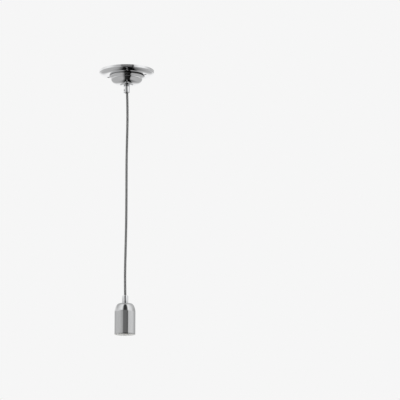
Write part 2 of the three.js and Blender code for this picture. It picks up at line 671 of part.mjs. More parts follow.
function holderClampScrew(name, side) {
  const geometry = slottedScrew(
    CLAMP_SCREW_RADIUS, CLAMP_SCREW_LENGTH, CLAMP_HEAD_RADIUS, CLAMP_HEAD_HEIGHT,
  );
  const screw = piece(name, geometry, ZINC);
  screw.rotation.x = Math.PI / 2;
  screw.position.set(
    side * TERMINAL_OFFSET,
    -CORE_RADIUS - GAP - CLAMP_SCREW_LENGTH,
    -TERMINAL_TOP - TERMINAL_SIZE.z / 2,
  );
  return screw;
}

// Rivet along Z: the head's upper side is at zero and the shank goes up
function rivet(length) {
  return revolve([
    [0, -RIVET_HEAD_HEIGHT], [RIVET_HEAD_RADIUS * 0.6, -RIVET_HEAD_HEIGHT],
    [RIVET_HEAD_RADIUS, -RIVET_HEAD_HEIGHT * 0.4], [RIVET_HEAD_RADIUS, 0],
    [RIVET_RADIUS, 0], [RIVET_RADIUS, length], [0, length],
  ], SCREW_SEGMENTS);
}

function holderRivet(name, x, sheet) {
  const length = CORE_BOTTOM - CORE_TOP + 2 * GAP + sheet;
  const mesh = piece(name, rivet(length), BRASS);
  mesh.position.set(x, 0, -CORE_BOTTOM - 2 * GAP - sheet);
  return mesh;
}

// Spring strip: riveted at its root, it slopes down to a flat pad under the centre
function centreContact() {
  const root = LIVE_RIVET_OFFSET + RIVET_HEAD_RADIUS;
  const bend = LIVE_RIVET_OFFSET - RIVET_HEAD_RADIUS - 2 * GAP;
  const path = [
    [root, 0], [bend, 0], [CONTACT_PAD, -CONTACT_RISE], [-CONTACT_PAD, -CONTACT_RISE],
  ].map(([x, z]) => new THREE.Vector2(x, z));
  const outline = sheetOutline(path, -CONTACT_THICKNESS);
  const shape = new THREE.Shape(outline.map(([x, z]) => new THREE.Vector2(x, z)));
  const strip = plate(shape, -CONTACT_WIDTH / 2, CONTACT_WIDTH).rotateX(Math.PI / 2)
    .translate(0, 0, -CORE_BOTTOM - GAP);
  const hole = rod(RIVET_RADIUS + GAP, 4 * CONTACT_THICKNESS)
    .translate(LIVE_RIVET_OFFSET, 0, -CORE_BOTTOM - GAP);
  return piece('centre_contact', cut(strip, hole), BRASS);
}

function screwShell() {
  const top = -CORE_BOTTOM - GAP;
  const body = revolve([
    [SHELL_FLANGE_INNER_RADIUS, top], [SHELL_RADIUS, top], [SHELL_RADIUS, top - SHELL_HEIGHT],
    [SHELL_RADIUS - SHELL_WALL, top - SHELL_HEIGHT], [SHELL_RADIUS - SHELL_WALL, top - SHELL_WALL],
    [SHELL_FLANGE_INNER_RADIUS, top - SHELL_WALL],
  ], HOLDER_SEGMENTS);
  const hole = rod(RIVET_RADIUS + GAP, 4 * SHELL_WALL).translate(-SHELL_RIVET_OFFSET, 0, top);
  return piece('screw_shell', cut(body, hole), NICKEL);
}

function holderSkirt() {
  const bottom = SKIRT_TOP + SKIRT_LENGTH;
  const socket = SPIGOT_RADIUS + GAP;
  return piece('holder_skirt', revolve([
    [socket, -SKIRT_TOP], [CAP_RADIUS, -SKIRT_TOP], [CAP_RADIUS, -bottom], [SKIRT_LIP_RADIUS, -bottom],
    [SKIRT_LIP_RADIUS, -bottom + SKIRT_LIP_HEIGHT], [SKIRT_BORE_RADIUS, -bottom + SKIRT_LIP_HEIGHT],
    [SKIRT_BORE_RADIUS, -LEDGE], [socket, -LEDGE],
  ], HOLDER_SEGMENTS), WHITE_RESIN);
}

function terminalCore(name, angle, side, finish) {
  const start = coreStart(HOLDER_CORD_END, angle, -1);
  const target = side * TERMINAL_OFFSET;
  const entry = -TERMINAL_TOP;
  const level = (start.z + entry) / 2;
  return core(name, [
    start,
    new THREE.Vector3(start.x + side * 0.3, start.y, start.z - 1.6),
    new THREE.Vector3(start.x + (target - start.x) * 0.42, start.y * 0.7, level - 0.2),
    new THREE.Vector3(target - side * 1.4, start.y * 0.2, level + 0.2),
    new THREE.Vector3(target, 0, entry + 0.6),
    new THREE.Vector3(target, 0, entry - TERMINAL_HOLE_DEPTH + 2 * GAP),
  ], finish);
}

function holderEarthCore() {
  const start = coreStart(HOLDER_CORD_END, Math.PI / 2, -1);
  const side = EARTH_SCREW_RADIUS + GAP + CORE_RADIUS;
  const level = -BUSH_BOTTOM - CLAMP_SPACE / 2;
  return core('holder_earth_core', [
    start,
    new THREE.Vector3(start.x + 0.1, start.y + 0.3, start.z - 1.4),
    new THREE.Vector3(side * 0.35, start.y + 2, start.z - 1.9),
    new THREE.Vector3(side * 0.75, BUSH_SCREW_REACH * 0.45, start.z - 1.2),
    new THREE.Vector3(side, BUSH_SCREW_REACH * 0.7, level - 0.2),
    new THREE.Vector3(side, BUSH_SCREW_REACH * 0.85, level),
    new THREE.Vector3(side, BUSH_SCREW_REACH + EARTH_SCREW_RADIUS, level),
  ], GREEN_PVC);
}

function holderAssembly() {
  const group = new THREE.Group();
  group.position.z = -DROP_TO_CUP;
  const grip = cordGrip('lower', HOLDER_NIPPLE_END + GAP);
  grip.rotation.set(Math.PI, 0, Math.PI / 2);
  grip.position.z = GAP;
  group.add(
    grip,
    lampCup(),
    piece('cup_washer', toothedWasher(-CUP_NUT + GAP), STEEL),
    piece('cup_lock_nut', lockNut(-CUP_NUT - NUT_HEIGHT), ZINC),
    holderCap(),
    holderBush(),
    bushScrew(),
    holderCore(),
    holderTerminal('live_terminal', 1),
    holderTerminal('neutral_terminal', -1),
    holderClampScrew('live_clamp_screw', 1),
    holderClampScrew('neutral_clamp_screw', -1),
    centreContact(),
    holderRivet('contact_rivet', LIVE_RIVET_OFFSET, CONTACT_THICKNESS),
    screwShell(),
    holderRivet('shell_rivet', -SHELL_RIVET_OFFSET, SHELL_WALL),
    holderSkirt(),
    terminalCore('holder_live_core', -Math.PI / 6, 1, BROWN_PVC),
    terminalCore('holder_neutral_core', Math.PI * 7 / 6, -1, BLUE_PVC),
    holderEarthCore(),
  );
  return group;
}

function cord() {
  return piece('cord', wire(CORD_ROUTE, CORD_RADIUS, CORD_SIDES, CORD_STEPS), BRAID);
}

const pendant = new THREE.Group();
pendant.add(ceilingRose(), roseFittings(), roseTerminals(), cord(), holderAssembly());

export default pendant;
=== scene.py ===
import math

import bmesh
import bpy
from mathutils import Matrix, Vector


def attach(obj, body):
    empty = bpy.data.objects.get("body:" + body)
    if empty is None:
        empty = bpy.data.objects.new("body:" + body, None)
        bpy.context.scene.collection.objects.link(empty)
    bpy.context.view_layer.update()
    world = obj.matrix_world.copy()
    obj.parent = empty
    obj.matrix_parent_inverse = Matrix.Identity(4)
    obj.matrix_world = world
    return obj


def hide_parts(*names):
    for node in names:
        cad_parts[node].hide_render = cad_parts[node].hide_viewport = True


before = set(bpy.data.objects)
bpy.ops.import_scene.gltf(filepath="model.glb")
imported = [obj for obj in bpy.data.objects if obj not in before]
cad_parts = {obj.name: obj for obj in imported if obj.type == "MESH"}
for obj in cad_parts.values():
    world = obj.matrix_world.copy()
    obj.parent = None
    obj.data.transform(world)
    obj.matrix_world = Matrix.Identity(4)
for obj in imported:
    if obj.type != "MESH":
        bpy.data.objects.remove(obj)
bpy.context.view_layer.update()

MM = 0.001
SHARP_ANGLE = 35

# Camera, below the set and looking up at it
CAMERA_PLACE = (0.1608, -4.087, -1.0494)
CAMERA_PITCH = math.radians(10.55)
CAMERA_LENS = 172.4

# Flex. These sizes and all below are in millimetres, and turns are in degrees
CORD_ROUTE = [
    (0.8, 0.6, -24.9), (0.8, 0.6, -37.5), (0.88, 0.54, -50.0), (1.4, 0.4, -64.0),
    (1.85, 0.25, -84.0), (2.1, 0.2, -108.0), (1.9, 0.3, -134.0), (1.4, 0.4, -162.0),
    (1.0, 0.4, -190.0), (0.9, 0.3, -218.0), (1.0, 0.1, -248.0), (1.1, -0.1, -278.0),
    (1.1, -0.3, -308.0), (1.0, -0.5, -338.0), (0.6, -0.6, -368.0), (0.1, -0.7, -398.0),
    (-0.4, -0.8, -428.0), (-0.6, -0.9, -456.0), (-0.3, -1.0, -480.0), (0.0, -1.0, -498.0),
    (0.0, -1.0, -513.0), (0.0, -1.0, -527.6),
]
CORD_RADIUS = 2.6
BRAID_PERIOD = 2.24
BRAID_COLUMNS = 16
BRAID_RELIEF = 0.16
BRAID_SLANT = 0.4
BLACK_SHARE = 0.56
RINGS_PER_PERIOD = 7
CORE_RADIUS = 1.1

# Ceiling rose
ROSE_RADIUS = 60
ROSE_WALL = 0.8
RIM_HEIGHT = 4.6
RIM_ROUND = 2.2
FLANGE_DROP = 11
FLANGE_OUTER_RADIUS = 46
FLANGE_INNER_RADIUS = 39.7
FLANGE_SHOULDER = 6
COLLAR_RADIUS = 37.7
COLLAR_DROP = 9.8
# Middle of the painted shade band in the groove above the collar, and how far that band reaches
GROOVE_DROP = COLLAR_DROP + 1.7
GROOVE_SHADE_REACH = (0.7, 1.4)
DOME_RADIUS = 34.3
DOME_TOP_DROP = 17
DOME_DROP = 31
DOME_FULLNESS = 0.64
BOSS_RADIUS = 15
BOSS_HEIGHT = 2
ROSE_DROP = DOME_DROP + BOSS_HEIGHT
FIXING_HOLE_RADIUS = 2.9
FIXING_HOLE_CIRCLE_RADIUS = 42.8
FIXING_HOLE_TURN = -17.4
FIXING_HOLE_LIP = 0.7

# Cord grips and the threaded parts that hold them
NIPPLE_HOLE_RADIUS = 5.3
GRIP_RADIUS = 6.6
GRIP_LENGTH = 16.6
GRIP_BORE_RADIUS = 3.9
GRIP_COUNTERBORE = 8
GRIP_SCREW_HOLE_RADIUS = 1.8
GRIP_SCREW_RADIUS = 1.5
GRIP_SCREW_FROM_MOUTH = 5.7
GRIP_SCREW_GAP = 0.3
GRIP_SCREW_SINK = 0.15
CORD_PUSH = 1.0
UPPER_GRIP_TURN = 37
LOWER_GRIP_TURN = -90
UPPER_SEAT = -33.3
LOWER_SEAT = -514.0
NIPPLE_BORE_RADIUS = 3.9
UPPER_NIPPLE_ENDS = (-41.0, -25.7)
LOWER_NIPPLE_ENDS = (-526.8, -506.3)
THREAD_RADIUS = 5
THREAD_ROOT_RADIUS = 4.45
THREAD_PITCH = 1
NUT_ACROSS_FLATS = 14
NUT_HEIGHT = 3
NUT_FACE_RADIUS = 6.7
NUT_CORNER_RADIUS = 8.4
NUT_CORNER_CHAMFER = 0.6
NUT_BORE_RADIUS = 5.1
NUT_MOUTH_RADIUS = 5.7
NUT_MOUTH_DEPTH = 0.5
ROSE_NUT_BOTTOM = -29.7
CUP_NUT_BOTTOM = -519.7

# Cup over the lamp holder
CUP_TOP = -514.3
CUP_RADIUS = 22.5
CUP_HEIGHT = 67.2
CUP_WALL = 1
CUP_TOP_RADIUS = 12.5
CUP_SHOULDER_HEIGHT = 17.5
CUP_SHOULDER_PULL = (20.2, -0.9)

# Lamp holder: the cap with its spigot, the skirt and the screw shell
HOLDER_RADIUS = 20
CAP_TOP = -520.0
CAP_HOLE_RADIUS = 7.3
CAP_FLAT_RADIUS = 13.7
CAP_DOME_RADII = (6, 9.8)
CAP_LENGTH = 17.8
CAP_CORNER = 0.3
CAP_ROOF = 3.5
SPIGOT_RADIUS = 17.7
SPIGOT_BORE_RADIUS = 15.7
SPIGOT_LENGTH = 24.8
SKIRT_TOP = -538.1
SKIRT_STEP = -549.4
SKIRT_BOTTOM = -579.8
SKIRT_UPPER_BORE_RADIUS = 18
SKIRT_LOWER_BORE_RADIUS = 15.5
SKIRT_LIP_RADIUS = 14.3
SKIRT_LIP_HEIGHT = 3
SHELL_PITCH = 3.63
SHELL_TOP = -553.6
SHELL_BOTTOM = -575.7
SHELL_CREST_RADIUS = 13.95
SHELL_ROOT_RADIUS = 12.55
SHELL_WALL = 0.4
SHELL_NECK = ((13.6, -553.0), (13.3, -552.4), (12.7, -552.1), (9.6, -552.1))

# Terminal block in the rose
BLOCK_LOW = (-9, 9.5, -26)
BLOCK_HIGH = (9, 25.5, -13.5)
BLOCK_POLE = 4.5
BLOCK_TUBE_LEVEL = -20.5
BLOCK_TUBE_HOLE_RADIUS = 2.9
BLOCK_SCREW_ROWS = (14.2, 20.8)
BLOCK_SCREW_HOLE_RADIUS = 2.3
BLOCK_SCREW_HOLE_DEPTH = 12.5
BLOCK_SCREW_LEVEL = -14.7

# What the camera sees behind the set
PALE = 0.922


# Outlines, as lists of (radius, height) points in millimetres

def arc(centre, radii, start, end, steps):
    """Points along an ellipse's arc, its angles in degrees."""
    points = []
    for i in range(steps + 1):
        angle = math.radians(start + (end - start) * i / steps)
        points.append((centre[0] + radii[0] * math.cos(angle), centre[1] + radii[1] * math.sin(angle)))
    return points


def bow(first, pull, last, steps):
    """Points along a curve from first to last, drawn towards the pull point."""
    first, pull, last = Vector(first), Vector(pull), Vector(last)
    shares = [i / steps for i in range(steps + 1)]
    return [tuple(first * (1 - t) ** 2 + pull * 2 * t * (1 - t) + last * t * t) for t in shares]


def bulge(first, last, fullness, steps):
    """Points from an upright start to a level end, drawn towards the corner between them."""
    first, last = Vector(first), Vector(last)
    corner = Vector((first.x, last.y))
    after, before = first.lerp(corner, fullness), last.lerp(corner, fullness)
    points = []
    for i in range(1, steps + 1):
        t = i / steps
        point = (first * (1 - t) ** 3 + after * 3 * t * (1 - t) ** 2
                 + before * 3 * t * t * (1 - t) + last * t ** 3)
        points.append(tuple(point))
    return points


def rounded(*corners):
    """A closed outline: a corner's third number is how far its rounding reaches."""
    points = []
    for i, corner in enumerate(corners):
        here = Vector(corner[:2])
        if len(corner) == 2:
            points.append(tuple(here))
            continue
        before = Vector(corners[i - 1][:2]) - here
        after = Vector(corners[(i + 1) % len(corners)][:2]) - here
        start = here + before.normalized() * corner[2]
        end = here + after.normalized() * corner[2]
        points += bow(start, here, end, 4)
    return points


# Mesh helpers

def cleaned(bm):
    """Merges doubles, drops faces without area and turns every face outwards."""
    bmesh.ops.remove_doubles(bm, verts=bm.verts, dist=1e-7)
    bmesh.ops.dissolve_degenerate(bm, edges=bm.edges, dist=1e-7)
    bmesh.ops.recalc_face_normals(bm, faces=bm.faces)
    return bm


def spun(points, segments, closed=True):
    """A turned shape: the outline is spun round Z."""
    bm = bmesh.new()
    verts = [bm.verts.new((radius * MM, 0, height * MM)) for radius, height in points]
    pairs = list(zip(verts, verts[1:]))
    if closed:
        pairs.append((verts[-1], verts[0]))
    edges = [bm.edges.new(pair) for pair in pairs]
    bmesh.ops.spin(
        bm, geom=verts + edges, cent=(0, 0, 0), axis=(0, 0, 1),
        angle=math.tau, steps=segments, use_merge=True,
    )
    return cleaned(bm)


def soften(bm, width):
    """Rounds every edge that turns by more than the sharp angle."""
    edges = [
        e for e in bm.edges
        if len(e.link_faces) == 2 and math.degrees(e.calc_face_angle(0)) > SHARP_ANGLE
    ]
    bmesh.ops.bevel(
        bm, geom=edges, offset=width * MM, offset_type="OFFSET", segments=2,
        profile=0.5, affect="EDGES", clamp_overlap=True, material=-1,
    )
    return bm


def moved(bm, x=0, y=0, z=0):
    bmesh.ops.translate(bm, verts=bm.verts, vec=(x * MM, y * MM, z * MM))
    return bm


def turned(bm, axis, degrees):
    turn = Matrix.Rotation(math.radians(degrees), 3, axis)
    bmesh.ops.rotate(bm, verts=bm.verts, cent=(0, 0, 0), matrix=turn)
    return bm


def rod(radius, length, segments=32):
    """A plain rod along Z, centred on the origin."""
    bm = bmesh.new()
    bmesh.ops.create_cone(
        bm, cap_ends=True, segments=segments, radius1=radius * MM, radius2=radius * MM, depth=length * MM,
    )
    return bm


def block(low, high):
    """A box between two corners."""
    bm = bmesh.new()
    bmesh.ops.create_cube(bm, size=1)
    size = [(b - a) * MM for a, b in zip(low, high)]
    centre = [(a + b) / 2 * MM for a, b in zip(low, high)]
    bmesh.ops.scale(bm, verts=bm.verts, vec=size)
    bmesh.ops.translate(bm, verts=bm.verts, vec=centre)
    return bm


def mesh_object(name, bm):
    mesh = bpy.data.meshes.new(name)
    bm.to_mesh(mesh)
    bm.free()
    obj = bpy.data.objects.new(name, mesh)
    bpy.context.scene.collection.objects.link(obj)
    return obj


def reshape(obj, *steps):
    """Runs each step on the object's mesh."""
    bm = bmesh.new()
    bm.from_mesh(obj.data)
    for step in steps:
        step(bm)
    bm.to_mesh(obj.data)
    bm.free()


def apply_modifiers(obj):
    """Makes the shape that the modifiers give the object's own mesh."""
    graph = bpy.context.evaluated_depsgraph_get()
    mesh = bpy.data.meshes.new_from_object(obj.evaluated_get(graph))
    obj.modifiers.clear()
    old = obj.data
    obj.data = mesh
    bpy.data.meshes.remove(old)


def boolean(obj, operation, *tools, material=0):
    """Cuts tools out of an object, joins them to it or keeps what they share; the tools are used up."""
    for bm in tools:
        for face in bm.faces:
            face.material_index = material
        tool = mesh_object("tool", bm)
        modifier = obj.modifiers.new("cut", "BOOLEAN")
        modifier.operation = operation
        modifier.solver = "EXACT"
        modifier.object = tool
        apply_modifiers(obj)
        spent = tool.data
        bpy.data.objects.remove(tool)
        bpy.data.meshes.remove(spent)


def finish(obj, material, slot, *nodes, smooth=SHARP_ANGLE):
    """Shades the piece, gives it its finish and puts it in the place of CAD nodes."""
    mesh = obj.data
    mesh.shade_smooth()
    mesh.set_sharp_from_angle(angle=math.radians(smooth))
    if len(mesh.materials) < 2:
        mesh.materials.clear()
        mesh.materials.append(material)
    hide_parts(*nodes)
    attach(obj, "root")


def add_wall(obj, thickness, **settings):
    """Thickens a sheet inwards."""
    wall = obj.modifiers.new("wall", "SOLIDIFY")
    wall.thickness = thickness * MM
    wall.offset = -1
    for key, value in settings.items():
        setattr(wall, key, value)


def add_lined_wall(obj, thickness, outside, inside):
    """Thickens a sheet inwards, with a finish of its own on the inside."""
    obj.data.materials.append(outside)
    obj.data.materials.append(inside)
    add_wall(obj, thickness, use_even_offset=True, material_offset=1)


# Paths for the flex and its cores

def centripetal(group, knots, t):
    """One point of the centripetal curve between the middle two of four points."""
    first = [group[i].lerp(group[i + 1], (t - knots[i]) / (knots[i + 1] - knots[i])) for i in range(3)]
    second = [first[i].lerp(first[i + 1], (t - knots[i]) / (knots[i + 2] - knots[i])) for i in range(2)]
    return second[0].lerp(second[1], (t - knots[1]) / (knots[2] - knots[1]))


def smooth_path(points, spacing):
    """Evenly spaced points on a smooth curve through the given ones, and its length, in millimetres."""
    pieces = 24
    points = [Vector(p) for p in points]
    ends = [points[0] * 2 - points[1], *points, points[-1] * 2 - points[-2]]
    fine = []
    for i in range(len(points) - 1):
        group = ends[i:i + 4]
        knots = [0.0]
        for a, b in zip(group, group[1:]):
            knots.append(knots[-1] + math.sqrt((b - a).length))
        fine += [
            centripetal(group, knots, knots[1] + (knots[2] - knots[1]) * j / pieces) for j in range(pieces)
        ]
    fine.append(points[-1])
    lengths = [0.0]
    for a, b in zip(fine, fine[1:]):
        lengths.append(lengths[-1] + (b - a).length)
    count = max(2, round(lengths[-1] / spacing))
    even, k = [], 0
    for i in range(count + 1):
        target = lengths[-1] * i / count
        while k < len(lengths) - 2 and lengths[k + 1] < target:
            k += 1
        even.append(fine[k].lerp(fine[k + 1], (target - lengths[k]) / (lengths[k + 1] - lengths[k])))
    return even, lengths[-1]


def sleeve(path, around, radius):
    """A closed round sleeve along a path. radius(i, j) gives its size at ring i, place j."""
    bm = bmesh.new()
    bm.loops.layers.uv.new("UVMap")
    bmesh.ops.create_grid(bm, x_segments=around, y_segments=len(path) - 1, size=0.5, calc_uvs=True)
    frames = []
    side = Vector((1, 0, 0))
    for i, here in enumerate(path):
        along = (path[min(i + 1, len(path) - 1)] - path[max(i - 1, 0)]).normalized()
        side = (side - along * side.dot(along)).normalized()
        frames.append((here, side.copy(), along.cross(side)))
    for vert in bm.verts:
        j = round((vert.co.x + 0.5) * around)
        i = round((vert.co.y + 0.5) * (len(path) - 1))
        here, side, up = frames[i]
        angle = math.tau * j / around
        reach = radius(i, j % around)
        vert.co = (here + (side * math.cos(angle) + up * math.sin(angle)) * reach) * MM
    bmesh.ops.remove_doubles(bm, verts=bm.verts, dist=1e-7)
    rims = [e for e in bm.edges if e.is_boundary]
    bmesh.ops.holes_fill(bm, edges=rims, sides=0)
    bmesh.ops.recalc_face_normals(bm, faces=bm.faces)
    return bm


# Shader helpers

def feed(tree, node, inputs):
    """Gives a node its inputs, each a value or the socket that feeds it."""
    for key, value in inputs.items():
        if isinstance(value, bpy.types.NodeSocket):
            tree.links.new(value, node.inputs[key])
        else:
            node.inputs[key].default_value = value


def add(tree, kind, inputs=None, **settings):
    """A new node with its settings and inputs."""
    made = tree.nodes.new(kind)
    for key, value in settings.items():
        setattr(made, key, value)
    feed(tree, made, inputs or {})
    return made


def maths(tree, operation, *values):
    return add(tree, "ShaderNodeMath", dict(enumerate(values)), operation=operation).outputs[0]


def times(tree, first, second):
    return maths(tree, "MULTIPLY", first, second)


def plus(tree, first, second):
    return maths(tree, "ADD", first, second)


def from_axis(tree, parts):
    """How far a place is from Z, out of its separated coordinates."""
    across, along = parts.outputs["X"], parts.outputs["Y"]
    return maths(tree, "SQRT", plus(tree, times(tree, across, across), times(tree, along, along)))


def blend_colours(tree, share, first, second):
    """The first colour, or as much of the second as the share says; 6, 7 and 2 are the colour sockets."""
    return add(tree, "ShaderNodeMix", {0: share, 6: first, 7: second}, data_type="RGBA").outputs[2]


def spread(tree, value, low, high, to_low, to_high):
    made = add(tree, "ShaderNodeMapRange", {
        "Value": value, "From Min": low, "From Max": high, "To Min": to_low, "To Max": to_high,
    })
    return made.outputs["Result"]


def ramp(tree, factor, stops):
    made = add(tree, "ShaderNodeValToRGB", {"Fac": factor})
    elements = made.color_ramp.elements
    for i, (place, level) in enumerate(stops):
        stop = elements[i] if i < 2 else elements.new(place)
        stop.position = place
        stop.color = (level, level, level, 1)
    return made.outputs["Color"]


def grey(level):
    return (level, level, level, 1)


def new_group(name, inputs, outputs):
    """A node group with float or vector inputs and float or colour outputs."""
    group = bpy.data.node_groups.new(name, "ShaderNodeTree")
    for label, (kind, value) in inputs.items():
        socket = group.interface.new_socket(label, in_out="INPUT", socket_type=kind)
        if value is not None:
            socket.default_value = value
    for label, kind in outputs.items():
        group.interface.new_socket(label, in_out="OUTPUT", socket_type=kind)
    return group, group.nodes.new("NodeGroupInput"), group.nodes.new("NodeGroupOutput")


def use(tree, group, inputs):
    return add(tree, "ShaderNodeGroup", inputs, node_tree=group)


def handling_group():
    """Soft smudges and fine wipe marks, as masks from 0 to 1."""
    group, source, out = new_group(
        "handling marks",
        {"Vector": ("NodeSocketVector", None), "Size": ("NodeSocketFloat", 60.0)},
        {"Smudge": "NodeSocketFloat", "Wipe": "NodeSocketFloat"},
    )
    place, size = source.outputs["Vector"], source.outputs["Size"]
    smudge = add(group, "ShaderNodeTexNoise", {
        "Vector": place, "Scale": size, "Detail": 5.0, "Roughness": 0.6, "Distortion": 0.6,
    })
    stretched = add(group, "ShaderNodeMapping", {
        "Vector": place, "Rotation": (0.5, 0.3, 0.4), "Scale": (9.0, 1.0, 1.0),
    })
    wipe = add(group, "ShaderNodeTexNoise", {
        "Vector": stretched.outputs[0], "Scale": times(group, size, 3.0), "Detail": 3.0, "Roughness": 0.7,
    })
    group.links.new(spread(group, smudge.outputs["Fac"], 0.42, 0.68, 0, 1), out.inputs["Smudge"])
    group.links.new(spread(group, wipe.outputs["Fac"], 0.5, 0.75, 0, 1), out.inputs["Wipe"])
    return group


def turning_group():
    """Fine rings that a lathe leaves round Z, as a height."""
    group, source, out = new_group(
        "turning marks",
        {"Vector": ("NodeSocketVector", None), "Rings per metre": ("NodeSocketFloat", 9000.0)},
        {"Height": "NodeSocketFloat"},
    )
    parts = add(group, "ShaderNodeSeparateXYZ", {"Vector": source.outputs["Vector"]})
    place = add(group, "ShaderNodeCombineXYZ", {"X": from_axis(group, parts), "Z": parts.outputs["Z"]})
    rings = add(group, "ShaderNodeTexNoise", {
        "Vector": place.outputs[0], "Scale": source.outputs["Rings per metre"], "Detail": 2.0,
    })
    group.links.new(rings.outputs["Fac"], out.inputs["Height"])
    return group


def drawing_group():
    """Upright streaks that deep drawing leaves round Z, from 0 to 1."""
    group, source, out = new_group(
        "draw marks",
        {"Vector": ("NodeSocketVector", None), "Streaks": ("NodeSocketFloat", 14.0)},
        {"Streak": "NodeSocketFloat"},
    )
    flat = add(group, "ShaderNodeMapping", {"Vector": source.outputs["Vector"], "Scale": (1.0, 1.0, 0.0)})
    turn = add(group, "ShaderNodeVectorMath", {0: flat.outputs[0]}, operation="NORMALIZE")
    parts = add(group, "ShaderNodeSeparateXYZ", {"Vector": source.outputs["Vector"]})
    rise = add(group, "ShaderNodeCombineXYZ", {"Z": times(group, parts.outputs["Z"], 3.0)})
    place = add(group, "ShaderNodeVectorMath", {0: turn.outputs[0], 1: rise.outputs[0]}, operation="ADD")
    streaks = add(group, "ShaderNodeTexNoise", {
        "Vector": place.outputs[0], "Scale": source.outputs["Streaks"], "Detail": 4.0, "Roughness": 0.7,
    })
    group.links.new(spread(group, streaks.outputs["Fac"], 0.3, 0.7, 0, 1), out.inputs["Streak"])
    return group


def grain_group():
    """Fine moulded or cast grain: a mottle for the colour and a height for the bump."""
    group, source, out = new_group(
        "moulded grain",
        {"Vector": ("NodeSocketVector", None), "Size": ("NodeSocketFloat", 900.0)},
        {"Mottle": "NodeSocketFloat", "Height": "NodeSocketFloat"},
    )
    place, size = source.outputs["Vector"], source.outputs["Size"]
    mottle = add(group, "ShaderNodeTexNoise", {
        "Vector": place, "Scale": times(group, size, 0.12), "Detail": 4.0, "Roughness": 0.55,
    })
    pits = add(group, "ShaderNodeTexVoronoi", {"Vector": place, "Scale": size})
    fine = add(group, "ShaderNodeTexNoise", {
        "Vector": place, "Scale": times(group, size, 2.0), "Detail": 3.0,
    })
    height = plus(group, times(group, pits.outputs["Distance"], 0.6), fine.outputs["Fac"])
    group.links.new(spread(group, mottle.outputs["Fac"], 0.35, 0.65, 0, 1), out.inputs["Mottle"])
    group.links.new(height, out.inputs["Height"])
    return group


HANDLING = handling_group()
TURNING = turning_group()
DRAWING = drawing_group()
GRAIN = grain_group()


def started(name):
    """A material with its shader and its object coordinates."""
    material = bpy.data.materials.new(name)
    material.use_nodes = True
    tree = material.node_tree
    shader = tree.nodes["Principled BSDF"]
    place = add(tree, "ShaderNodeTexCoord").outputs["Object"]
    return material, tree, shader, place


def bumped(tree, shader, height, strength, distance):
    bump = add(tree, "ShaderNodeBump", {"Height": height, "Strength": strength, "Distance": distance * MM})
    tree.links.new(bump.outputs[0], shader.inputs["Normal"])


def chrome(name, colour, dull, roughness, rough, streak, streaks):
    """Plated sheet or turned metal: smudges, wipe marks and upright draw marks, as strong as streak."""
    material, tree, shader, place = started(name)
    marks = use(tree, HANDLING, {"Vector": place, "Size": 45.0})
    drawn = use(tree, DRAWING, {"Vector": place, "Streaks": streaks})
    smudge = times(tree, marks.outputs["Smudge"], 0.5)
    tone = maths(tree, "MAXIMUM", smudge, times(tree, drawn.outputs["Streak"], streak))
    worn = plus(tree, smudge, times(tree, marks.outputs["Wipe"], 0.4))
    feed(tree, shader, {
        "Base Color": blend_colours(tree, tone, (*colour, 1), (*dull, 1)),
        "Roughness": spread(tree, worn, 0, 1, roughness, rough), "Metallic": 1.0,
    })
    bumped(tree, shader, drawn.outputs["Streak"], 0.12, 0.02)
    return material


def turned_metal(name, colour, dull, roughness, rough):
    """Machined metal: lathe rings, a patchy plate and handling marks."""
    material, tree, shader, place = started(name)
    marks = use(tree, HANDLING, {"Vector": place, "Size": 160.0})
    cut = use(tree, TURNING, {"Vector": place, "Rings per metre": 2500.0})
    worn = maths(tree, "MAXIMUM", marks.outputs["Smudge"], marks.outputs["Wipe"])
    feed(tree, shader, {
        "Base Color": blend_colours(tree, marks.outputs["Smudge"], (*colour, 1), (*dull, 1)),
        "Roughness": spread(tree, worn, 0, 1, roughness, rough), "Metallic": 1.0,
    })
    bumped(tree, shader, cut.outputs["Height"], 0.35, 0.05)
    return material


def moulded(name, colour, mottle, roughness, rough, size=900.0, bump=0.25, coat=0.0):
    """Plastic, resin or glazed clay: mottled colour and a fine grain."""
    material, tree, shader, place = started(name)
    grain = use(tree, GRAIN, {"Vector": place, "Size": size})
    marks = use(tree, HANDLING, {"Vector": place, "Size": 120.0})
    feed(tree, shader, {
        "Base Color": blend_colours(tree, grain.outputs["Mottle"], (*colour, 1), (*mottle, 1)),
        "Roughness": spread(tree, marks.outputs["Smudge"], 0, 1, roughness, rough),
        "Coat Weight": coat,
    })
    bumped(tree, shader, grain.outputs["Height"], bump, 0.03)
    return material


def striped_core(name):
    """Green insulation with a yellow stripe along it."""
    material = moulded(name, (0.07, 0.25, 0.05), (0.09, 0.3, 0.06), 0.42, 0.55)
    tree = material.node_tree
    shader = tree.nodes["Principled BSDF"]
    uv = add(tree, "ShaderNodeTexCoord").outputs["UV"]
    across = add(tree, "ShaderNodeSeparateXYZ", {"Vector": uv}).outputs["X"]
    green = shader.inputs["Base Color"].links[0].from_socket
    stripe = maths(tree, "LESS_THAN", maths(tree, "PINGPONG", across, 0.5), 0.17)
    tree.links.new(blend_colours(tree, stripe, green, (0.8, 0.62, 0.04, 1)), shader.inputs["Base Color"])
    return material


